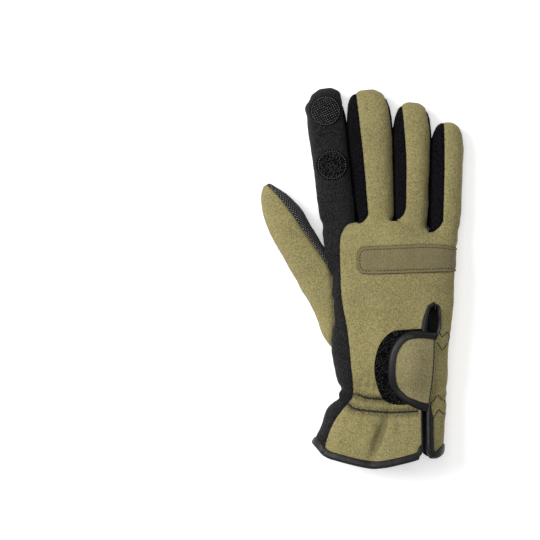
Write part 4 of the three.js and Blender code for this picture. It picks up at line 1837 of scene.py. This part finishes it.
class Overlay:
    """A piece of the whole skin, cut out and laid on it."""

    SPARE = 2.5

    def __init__(self, skin: Skin, where: Field, rounds: int) -> None:
        """Cuts the piece out.

        Args:
            skin: the cloth under it.
            where: the piece's region.
            rounds: how often its faces are divided.
        """
        self.skin = skin.copy().keep(grown(where, self.SPARE))
        bm = self.skin.bm
        layer = bm.verts.layers.float_vector.new("up")
        for vert, normal in zip(bm.verts, self.skin.normals()):
            vert[layer] = Vector(normal)
        bmesh.ops.subdivide_edges(bm, edges=bm.edges[:], cuts=rounds, use_grid_fill=True)
        self.skin.cut(where)
        self.skin.keep(where).without_loose()
        layer = bm.verts.layers.float_vector["up"]
        up = np.array([v[layer][:] for v in bm.verts], float)
        self.up = up / np.maximum(np.linalg.norm(up, axis=1, keepdims=True), 1e-9)
        self.base = self.skin.coords()

    def raise_by(self, height: Array) -> None:
        """Lifts it to a height above the cloth at each place."""
        self.skin.place(on_table(self.base + self.up * height[:, None]))

    def roll(self, opening: Field, steps: Points, reach: float = 0.6) -> None:
        """Rolls its edge over the rim of an opening.

        Args:
            opening: the region that the cloth leaves open.
            steps: how far out and down each strip of the roll goes, from the edge.
            reach: how near the opening an edge lies that is rolled.
        """
        bm = self.skin.bm
        bm.verts.index_update()
        near = np.abs(opening(self.base)) < reach
        ring = [e for e in bm.edges if e.is_boundary and all(near[v.index] for v in e.verts)]
        start = {}
        way = gradient(opening, self.base)
        tag = bm.verts.layers.int.new("edge")
        for vert in (v for edge in ring for v in edge.verts):
            start[vert.index] = (vert.co.copy(), Vector(way[vert.index]), Vector(self.up[vert.index]))
            vert[tag] = vert.index
        for out, down in steps:
            made = bmesh.ops.extrude_edge_only(bm, edges=ring)["geom"]
            moved = {g for g in made if isinstance(g, bmesh.types.BMVert)}
            ring = [g for g in made if isinstance(g, bmesh.types.BMEdge) and all(v in moved for v in g.verts)]
            for vert in moved:
                co, away, up = start[vert[tag]]
                at = co + away * out - up * down
                vert.co = (at.x, at.y, max(at.z, 0.0))


@dataclass(frozen=True)
class Stitch:
    """A stitch's length, the gap to the next, its thread's radius and how far it is pulled in."""

    length: float
    gap: float
    radius: float
    sink: float = 0.0


class Sewer:
    """Sews stitches onto surfaces."""

    FLAT = 0.05
    STRETCHED = 2.5

    def __init__(self) -> None:
        """Starts with no stitches."""
        self.bm = bmesh.new()

    def _stitch(self, a: Vector, b: Vector, up: Vector, radius: float) -> None:
        """Makes one stitch.

        Args:
            a: where the thread comes out.
            b: where it goes in.
            up: the cloth's normal.
            radius: the thread's.
        """
        way = b - a
        length = way.length
        if length < 1e-4:
            return
        way /= length
        side = up.cross(way).normalized()
        turn = Matrix((way, side, way.cross(side))).transposed().to_4x4()
        size = Matrix.Diagonal((length / 2 + radius * 0.4, radius, radius, 1))
        place = Matrix.Translation((a + b) / 2) @ turn @ size
        bmesh.ops.create_uvsphere(self.bm, u_segments=6, v_segments=5, radius=1.0, matrix=place)

    def run(self, tree: BVHTree, line: Array, stitch: Stitch, under: bool = False) -> None:
        """Sews a line of stitches.

        Args:
            tree: the surface.
            line: the line in plan.
            stitch: what each stitch is like.
            under: whether it runs on the underside.
        """
        span = np.linalg.norm(np.diff(line, axis=0), axis=1)
        total = np.concatenate([[0], np.cumsum(span)])
        s = stitch.gap / 2
        eye, way = (CELLAR, 1.0) if under else (SKY, -1.0)
        while s + stitch.length < total[-1]:
            ends = []
            for place in (s, s + stitch.length):
                x, y = np.interp(place, total, line[:, 0]), np.interp(place, total, line[:, 1])
                hit, normal, _, _ = tree.ray_cast(Vector((x, y, eye)), Vector((0, 0, way)))
                if hit is None or (normal.z > 0) == under and abs(normal.z) > self.FLAT:
                    break
                ends.append((hit + normal * (stitch.radius * 0.3 - stitch.sink), normal))
            if len(ends) == 2 and (ends[1][0] - ends[0][0]).length < self.STRETCHED * stitch.length:
                up = (ends[0][1] + ends[1][1]).normalized()
                self._stitch(ends[0][0], ends[1][0], up, stitch.radius)
            s += stitch.length + stitch.gap


@dataclass
class KnuckleBand(SubAssembly):
    """The flat band sewn across the knuckles."""

    thickness: float = 1.3
    rim: float = 0.7
    hem: float = 2.3
    stitch: Stitch = Stitch(1.4, 0.85, 0.34)

    def build(self) -> None:
        """Lays the band and sews it down."""
        band = Overlay(self.cloth.whole, region(REGIONS.band, 8.0, ANY_HEIGHT), 2)
        depth = REGIONS.band.signed(band.base)
        height = self.thickness * rounding(depth, self.rim) - 0.45 * bell(depth - self.hem, 0.55)
        band.raise_by(height - 0.15 + 0.1 * smoothstep(2.5, 7, depth))
        sewer = Sewer()
        sewer.run(band.skin.tree(), moved_aside(REGIONS.band_line, -self.hem), self.stitch)
        dress("knuckle_band_cloth", band.skin.bm, [self.palette.band], ["knuckle_band"])
        dress("knuckle_band_stitches", sewer.bm, [self.palette.tan_thread])


@dataclass(frozen=True)
class Nap:
    """How touch tape's threads are strewn: how many are tried, their sizes, lean and rows' pitch."""

    seed: int
    count: int
    size: tuple[float, float]
    lean: float
    pitch: float = 0.0


class Tufts:
    """The little loops and hooks of touch tape."""

    def __init__(self, nap: Nap) -> None:
        """Spins one hook, which all of them are copies of."""
        self.nap = nap
        self.random = np.random.default_rng(nap.seed)
        bm = bmesh.new()
        for vert in bmesh.ops.create_circle(bm, segments=4, radius=0.5)["verts"]:
            vert.co = (vert.co.x * 0.16 + 0.5, 0, vert.co.y * 0.16)
        bmesh.ops.spin(
            bm, geom=bm.edges[:], angle=math.radians(200), steps=5, axis=(0, 0, 1), cent=(0, 0, 0),
            use_duplicate=False,
        )
        bm.verts.index_update()
        turned = Matrix.Rotation(math.radians(90), 4, "X")
        self.points = np.array([(turned @ v.co)[:] for v in bm.verts])
        self.faces = [[v.index for v in f.verts] for f in bm.faces]
        bm.free()

    def _in_rows(self, x: float, y: float) -> tuple[float, float]:
        """Moves a place to the nearest crossing of the tape's slanting rows, not quite exactly."""
        pitch = self.nap.pitch
        x, y = (round(v / pitch) * pitch + self.random.normal() * 0.12 for v in (x + 0.5 * y, y - 0.5 * x))
        return (x - 0.5 * y) / 1.25, (y + 0.5 * x) / 1.25

    def strew(
        self, tree: BVHTree, where: Callable[[float, float], bool], box: Sequence[float]
    ) -> BMesh:
        """Strews them over a patch.

        Args:
            tree: the patch.
            where: whether a place in plan is in it.
            box: lowest x, lowest y, highest x, highest y.

        Returns:
            Their mesh.
        """
        places, faces = [], []
        for _ in range(self.nap.count):
            x, y = self.random.uniform(box[0], box[2]), self.random.uniform(box[1], box[3])
            scale, turn = self.random.uniform(*self.nap.size), self.random.uniform(0, 2 * math.pi)
            tip = self.random.normal(size=2) * self.nap.lean
            if not where(x, y):
                continue
            if self.nap.pitch:
                x, y = self._in_rows(x, y)
            hit, normal, _, _ = tree.ray_cast(Vector((x, y, SKY)), Vector((0, 0, -1)))
            if hit is None or not where(x, y):
                continue
            up = (normal + Vector((tip[0], tip[1], 0))).normalized()
            side = up.cross(Vector((math.cos(turn), math.sin(turn), 0))).normalized()
            axes = np.array([side.cross(up)[:], side[:], up[:]]).T
            start = len(places) * len(self.points)
            places.append(self.points * scale @ axes.T + np.array(hit))
            faces.extend([[start + k for k in face] for face in self.faces])
        mesh = bpy.data.meshes.new("tufts")
        mesh.from_pydata(np.concatenate(places), [], faces)
        bm = bmesh.new()
        bm.from_mesh(mesh)
        bpy.data.meshes.remove(mesh)
        return bm


@dataclass(frozen=True)
class Dot:
    """One round dot of touch tape, a distance along the index finger."""

    name: str
    distance: float
    tape: Material
    thread: Material
    nap: Nap


@dataclass
class TouchDots(SubAssembly):
    """The two round dots of touch tape on the index finger."""

    radius: float = 10.6
    thickness: float = 1.4
    hem: float = 0.9
    bare_rim: float = 1.3
    sides: int = 72
    stitch: Stitch = Stitch(0.9, 0.7, 0.26)

    def build(self) -> None:
        """Lays both dots."""
        palette = self.palette
        self._dot(Dot("tip_dot", 74.0, palette.hook, palette.tuft, Nap(4, 1500, (0.4, 0.8), 0.5, 1.7)))
        self._dot(Dot("knuckle_dot", 35.8, palette.loop, palette.nap, Nap(5, 800, (0.4, 0.8), 0.5)))

    def _dot(self, dot: Dot) -> None:
        """Lays one dot, sews it down and strews its threads.

        Args:
            dot: which one.
        """
        middle = PLAN.on_finger(0, dot.distance, 0)
        turn = np.linspace(0, 2 * np.pi, self.sides, endpoint=False)
        circle = np.stack([np.cos(turn), np.sin(turn)], 1)
        outline = Outline(middle + circle * self.radius)
        tape = Overlay(self.cloth.whole, region(outline, 12, ANY_HEIGHT), 2)
        depth = outline.signed(tape.base)
        lump = 0.12 * unevenness(tape.base, 1.7, dot.nap.seed) * smoothstep(0.5, 1.4, depth)
        height = self.thickness * rounding(depth, 0.6) - 0.35 * bell(depth - self.hem, 0.4)
        tape.raise_by(height + lump - 0.1)
        tree = tape.skin.tree()
        sewer = Sewer()
        sewer.run(tree, middle + np.concatenate([circle, circle[:1]]) * (self.radius - self.hem), self.stitch)
        dress(f"{dot.name}_cloth", tape.skin.bm, [dot.tape], [dot.name])
        dress(f"{dot.name}_stitches", sewer.bm, [self.palette.tuft])
        reach = self.radius - self.bare_rim
        nap = Tufts(dot.nap).strew(
            tree, lambda x, y: math.hypot(x - middle[0], y - middle[1]) < reach,
            (middle[0] - reach, middle[1] - reach, middle[0] + reach, middle[1] + reach),
        )
        dress(f"{dot.name}_nap", nap, [dot.thread])


@dataclass
class WristClosure(SubAssembly):
    """The loop patch, the D-shaped tab and its tape."""

    patch_px: Points = (
        (421, 328), (403, 329), (392.5, 330.5), (384.5, 336), (377.6, 346.6), (373.6, 364), (375.3, 381),
        (381, 396), (388, 401.7), (399.4, 404), (421, 404),
    )
    round_px: Points = (
        (433.6, 332.6), (420, 331), (408, 332), (400, 335.5), (393, 344), (389, 354), (387.7, 368),
        (389, 381), (394, 392), (402, 401), (411, 406), (419, 409), (427.4, 410),
    )
    sewn_px: Points = (
        (427.4, 410), (428.9, 402), (431, 389), (432.8, 372), (433.6, 356), (433.8, 340), (433.6, 332.6),
    )
    floor: float = 12.0
    patch_thickness: float = 2.3
    nap: Nap = Nap(31, 1700, (0.4, 0.95), 0.6)
    nap_box: tuple[float, ...] = (-12.5, 43, 21, 98.5)
    tab_thickness: float = 2.3
    tab_wall: float = 1.8
    sewn_height: float = 0.5
    free_height: float = 3.2
    slope: float = 17.0
    tape_width: float = 4.7
    tape_roll: Points = ((-0.25, 0.5), (-0.4, 1.2), (-0.25, 2.0), (0.3, 2.6), (1.6, 2.8))
    tab_stitch: Stitch = Stitch(2.2, 0.05, 0.6, 0.15)
    tape_stitch: Stitch = Stitch(1.2, 0.95, 0.3)

    def build(self) -> None:
        """Lays the patch, the tab over it, and binds the tab's edge."""
        self.patch = Outline(spline(px(self.patch_px), 60))
        self.curve = spline(px(self.round_px), 70)
        self.sewn = spline(px(self.sewn_px), 24)
        self.tab = Outline([*self.curve, *self.sewn[1:-1]])
        self._patch()
        self._tab()
        self._tape()

    def _sewn_line(self, co: Array) -> Array:
        """Gives where the line that the tab is sewn down on lies across, beside each place."""
        return np.interp(co[:, 1], self.sewn[:, 1], self.sewn[:, 0])

    def _level(self, co: Array) -> Array:
        """Gives how high the tab's underside stands above the cloth, at each place."""
        crown = 0.7 * smoothstep(0, 14, self.tab.signed(co))
        rise = smoothstep(0.5, self.slope, self._sewn_line(co) - co[:, 0])
        return self.sewn_height + (self.free_height - self.sewn_height) * rise + crown

    def _patch(self) -> None:
        """Lays the loop patch, with its nap where the tab leaves it bare."""
        patch = Overlay(self.cloth.calm, region(self.patch, self.floor, ANY_HEIGHT), 1)
        depth = self.patch.signed(patch.base)
        nap = 0.22 * unevenness(patch.base, 1.9, 21) * smoothstep(0.2, 1.2, depth)
        patch.raise_by(self.patch_thickness * rounding(depth, 0.9) + nap - 0.6)
        tree = patch.skin.tree()
        dress("loop_patch_cloth", patch.skin.bm, [self.palette.loop], ["loop_patch"])

        def bare(x: float, y: float) -> bool:
            """Tells whether a place in plan is on the patch and not far under the tab."""
            here = np.array([[x, y]])
            return self.patch.signed(here)[0] > 0.3 and self.tab.signed(here)[0] < 2.0

        tufts = Tufts(self.nap).strew(tree, bare, self.nap_box)
        dress("loop_patch_nap", tufts, [self.palette.nap])

    def _tab(self) -> None:
        """Lays the tab and sews it down beside the slit."""
        tab = Overlay(self.cloth.calm, region(self.tab, self.floor, ANY_HEIGHT), 1)
        edge = 0.55 + 0.45 * rounding(self.tab.signed(tab.base), 2.2)
        tab.raise_by(self._level(tab.base) + self.tab_thickness * edge)
        sewer = Sewer()
        sewer.run(tab.skin.tree(), moved_aside(self.sewn, 0.45)[1:-1], self.tab_stitch)
        materials = [self.palette.tab, self.palette.lining]
        dress("wrist_tab_cloth", tab.skin.bm, materials, ["wrist_tab"], self.tab_wall)
        dress("wrist_tab_stitches", sewer.bm, [self.palette.thread])

    def _tape(self) -> None:
        """Folds the tape over the tab's round edge and sews it."""
        far_ends = [self.curve[-1] + (40, 0), self.curve[0] + (40, 0)]
        outer = Outline([*self.curve, *far_ends])
        whole = region(outer, self.floor, ANY_HEIGHT)
        tape = Overlay(
            self.cloth.calm,
            both(
                whole, lambda co: self.tape_width - outer.signed(co),
                lambda co: self._sewn_line(co) - 0.7 - co[:, 0],
            ),
            2,
        )
        out = outer.signed(tape.base)
        level = self._level(tape.base) + self.tab_thickness
        height = level - 0.3 + 1.25 * rounding(self.tape_width - out, 0.8) - 1.9 * (1 - rounding(out, 2.6))
        tape.raise_by(height + 0.05 * unevenness(tape.base, 6, 8))
        tape.roll(whole, self.tape_roll)
        sewer = Sewer()
        sewer.run(tape.skin.tree(), moved_aside(self.curve, self.tape_width - 0.7), self.tape_stitch)
        dress("tab_tape_band", tape.skin.bm, [self.palette.tape], ["tab_tape"])
        dress("tab_tape_stitches", sewer.bm, [self.palette.thread])


@dataclass
class EdgeBinding(SubAssembly):
    """The tape folded over the cuff's edge and round the slit."""

    cuff_width: float = 4.5
    # Along the slit, in millimetres, and the tape's width there, on its left side and its right one
    left_width: Points = ((30, 0.9), (80, 1.2), (94, 3.4), (104, 2.8), (112, 1.8))
    right_width: Points = ((4, 4.2), (12, 4.1), (34, 4.0), (42, 2.6), (90, 1.0), (112, 1.1))
    roll: Points = ((0.55, 0.35), (0.9, 1.2), (0.9, 2.2), (0.55, 3.1), (-0.1, 3.4), (-2.4, 3.3))
    cuff_stitch: Stitch = Stitch(1.3, 0.9, 0.26)
    # Each run beside the slit: its side, lowest and highest y, how far aside, and its stitch
    slit_runs: tuple[tuple[int, float, float, float, Stitch], ...] = (
        (1, 5, 42, 2.2, Stitch(1.3, 1.0, 0.2)),
        (-1, 92, 110, -1.9, Stitch(1.2, 0.9, 0.18)),
        (1, 92, 110, 0.7, Stitch(0.9, 0.6, 0.26)),
    )
    # The three short bars at the keyhole's top
    bars_px: tuple[Points, ...] = (
        ((431.6, 303.8), (432.6, 307.6)), ((434.4, 303.4), (434.8, 309.4)), ((437.2, 304), (436.6, 307.8)),
    )
    bar_stitch: Stitch = Stitch(2.0, 0.1, 0.5)

    def _slit_width(self, co: Array) -> Array:
        """Gives how wide the tape beside the slit is, at each place."""
        rows = REGIONS.SLIT
        along = [r[0] * HAND.palm_length for r in rows]
        middle = np.interp(co[:, 1], along, [PLAN.across(r[1]) for r in rows])
        left, right = (np.interp(co[:, 1], *zip(*side)) for side in (self.left_width, self.right_width))
        return np.where(co[:, 0] < middle, left, right)

    def build(self) -> None:
        """Folds the tape over the edges and sews it."""
        opening = either(REGIONS.cuff, REGIONS.slit)
        beside_slit = lambda co: REGIONS.slit(co) + self._slit_width(co)
        inner = either(grown(REGIONS.cuff, self.cuff_width), beside_slit)
        tape = Overlay(self.cloth.whole, both(not_in(opening), inner), 1)
        out, inn = -opening(tape.base), inner(tape.base)
        height = -0.2 + 1.3 * rounding(inn, 0.8) - 0.35 * (1 - rounding(out, 1.2))
        tape.raise_by(height - 0.3 * bell(inn - 1.0, 0.45) + 0.05 * unevenness(tape.base, 5, 2))
        tape.roll(opening, self.roll)
        tree = tape.skin.tree()
        dress("edge_tape_band", tape.skin.bm, [self.palette.tape], ["edge_tape"])
        sewer = Sewer()
        cuff = spline([PLAN.place(*row) for row in REGIONS.CUFF_EDGE], 120)
        for under in (False, True):
            sewer.run(tree, moved_aside(cuff, self.cuff_width - 0.8), self.cuff_stitch, under)
        for side, low, high, aside, stitch in self.slit_runs:
            edge = REGIONS.slit_left if side < 0 else REGIONS.slit_right
            shown = (edge[:, 1] > low) & (edge[:, 1] < high)
            sewer.run(tree, edge[shown] + (aside, 0), stitch)
        for bar in self.bars_px:
            sewer.run(self.cloth.top, px(bar), self.bar_stitch)
        dress("edge_tape_stitches", sewer.bm, [self.palette.thread])


@dataclass
class Sewing(SubAssembly):
    """The stitch lines in the hand's own cloth."""

    zigzags_px: tuple[Points, ...] = (
        (
            (438.2, 330.5), (440.7, 336.9), (447, 331.4), (449.4, 336), (447.2, 342.5), (442, 350.4),
            (435.9, 341.3),
        ),
        ((430.4, 403.5), (437.3, 394.2), (443.6, 401.6), (445.9, 399)),
        ((432.3, 418.3), (437.9, 408.8), (444.1, 414.5), (445.9, 412)),
    )
    zigzag_stitch: Stitch = Stitch(1.35, 0.45, 0.48)
    wrist_starts: tuple[float, float] = (-24.0, -30.5)
    wrist_stitch: Stitch = Stitch(1.8, 0.3, 0.62)
    palm_stitch: Stitch = Stitch(1.6, 0.8, 0.34)
    grip_asides: tuple[float, ...] = (-1.2, -3.0)
    grip_stitch: Stitch = Stitch(1.5, 0.8, 0.3)
    tip_slit_place: float = 60.0
    tip_slit_half: float = 7.5
    tip_slit_stitch: Stitch = Stitch(1.5, 0.25, 0.35)

    def build(self) -> None:
        """Sews them."""
        top = self.cloth.top
        sewer = Sewer()
        for corners in map(px, self.zigzags_px):
            for a, b in zip(corners[:-1], corners[1:]):
                sewer.run(top, np.array([a, b]), self.zigzag_stitch)
        for line, start in zip((WRIST.upper, WRIST.lower), self.wrist_starts):
            sewer.run(top, line[line[:, 0] > start], self.wrist_stitch)
        for line in (WRIST.palm_upper, WRIST.palm_lower):
            sewer.run(top, line, self.palm_stitch, under=True)
        dress("hand_stitches", sewer.bm, [self.palette.thread])
        palm = Sewer()
        edge = REGIONS.grip_line
        for aside in self.grip_asides:
            palm.run(top, moved_aside(edge, aside)[edge[:, 1] > 8], self.grip_stitch, under=True)
        slit = [PLAN.on_finger(0, self.tip_slit_place, side * self.tip_slit_half) for side in (-1, 1)]
        palm.run(top, np.array(slit), self.tip_slit_stitch, under=True)
        dress("palm_stitches", palm.bm, [self.palette.tuft])


# The studio


@dataclass(frozen=True)
class Lamp:
    """A round lamp that is aimed at the glove, in metres and watts."""

    name: str
    place: tuple[float, float, float]
    size: float
    power: float

    def build(self) -> None:
        """Hangs it."""
        data = bpy.data.lights.new(self.name, "AREA")
        data.shape = "DISK"
        data.size = self.size
        data.energy = self.power
        lamp = bpy.data.objects.new(self.name, data)
        lamp.location = self.place
        lamp.rotation_euler = (-Vector(self.place)).to_track_quat("-Z", "Y").to_euler()
        bpy.context.scene.collection.objects.link(lamp)


@dataclass(frozen=True)
class Studio:
    """The floor, the lights and the camera, in metres."""

    eye: tuple[float, float, float] = (-0.0646, 0.0064, 2.5)
    lens: float = 236.0
    lamps: tuple[Lamp, ...] = (
        Lamp("key", (-1.2, 0.5, 1.28), 1.1, 28),
        Lamp("fill", (-0.1, 0.1, 1.9), 1.0, 9.5),
    )
    sky: float = 0.3
    paper: tuple[float, float] = (0.93, 0.95)
    paper_glow: float = 0.42

    def build(self) -> None:
        """Sets it up."""
        scene = bpy.context.scene
        self._floor()
        for lamp in self.lamps:
            lamp.build()
        scene.world = bpy.data.worlds.new("studio")
        scene.world.use_nodes = True
        background = scene.world.node_tree.nodes["Background"]
        background.inputs[0].default_value = (1, 1, 1, 1)
        background.inputs[1].default_value = self.sky
        camera = bpy.data.cameras.new("camera")
        camera.lens = self.lens
        camera.sensor_width = 36
        scene.camera = bpy.data.objects.new("camera", camera)
        scene.camera.location = self.eye
        scene.collection.objects.link(scene.camera)
        scene.view_settings.view_transform = "Standard"

    def _floor(self) -> None:
        """Lays the white paper."""
        bm = bmesh.new()
        bmesh.ops.create_grid(bm, x_segments=8, y_segments=8, size=3)
        floor = linked("floor", bm)
        g = Graph("floor_paper")
        dark, light = ((share, share, share, 1) for share in self.paper)
        floor.data.materials.append(g.finish(g.mix(g.noise(300, 1), dark, light), 0.9, glow=self.paper_glow))


def main() -> None:
    """Dresses the glove and sets up the studio."""
    palette = Palette.mixed()
    cloth = HandCloth()
    for assembly in (Panels, KnuckleBand, TouchDots, WristClosure, EdgeBinding, Sewing):
        assembly(cloth, palette).build()
    Studio().build()


if __name__ == "__main__":
    main()
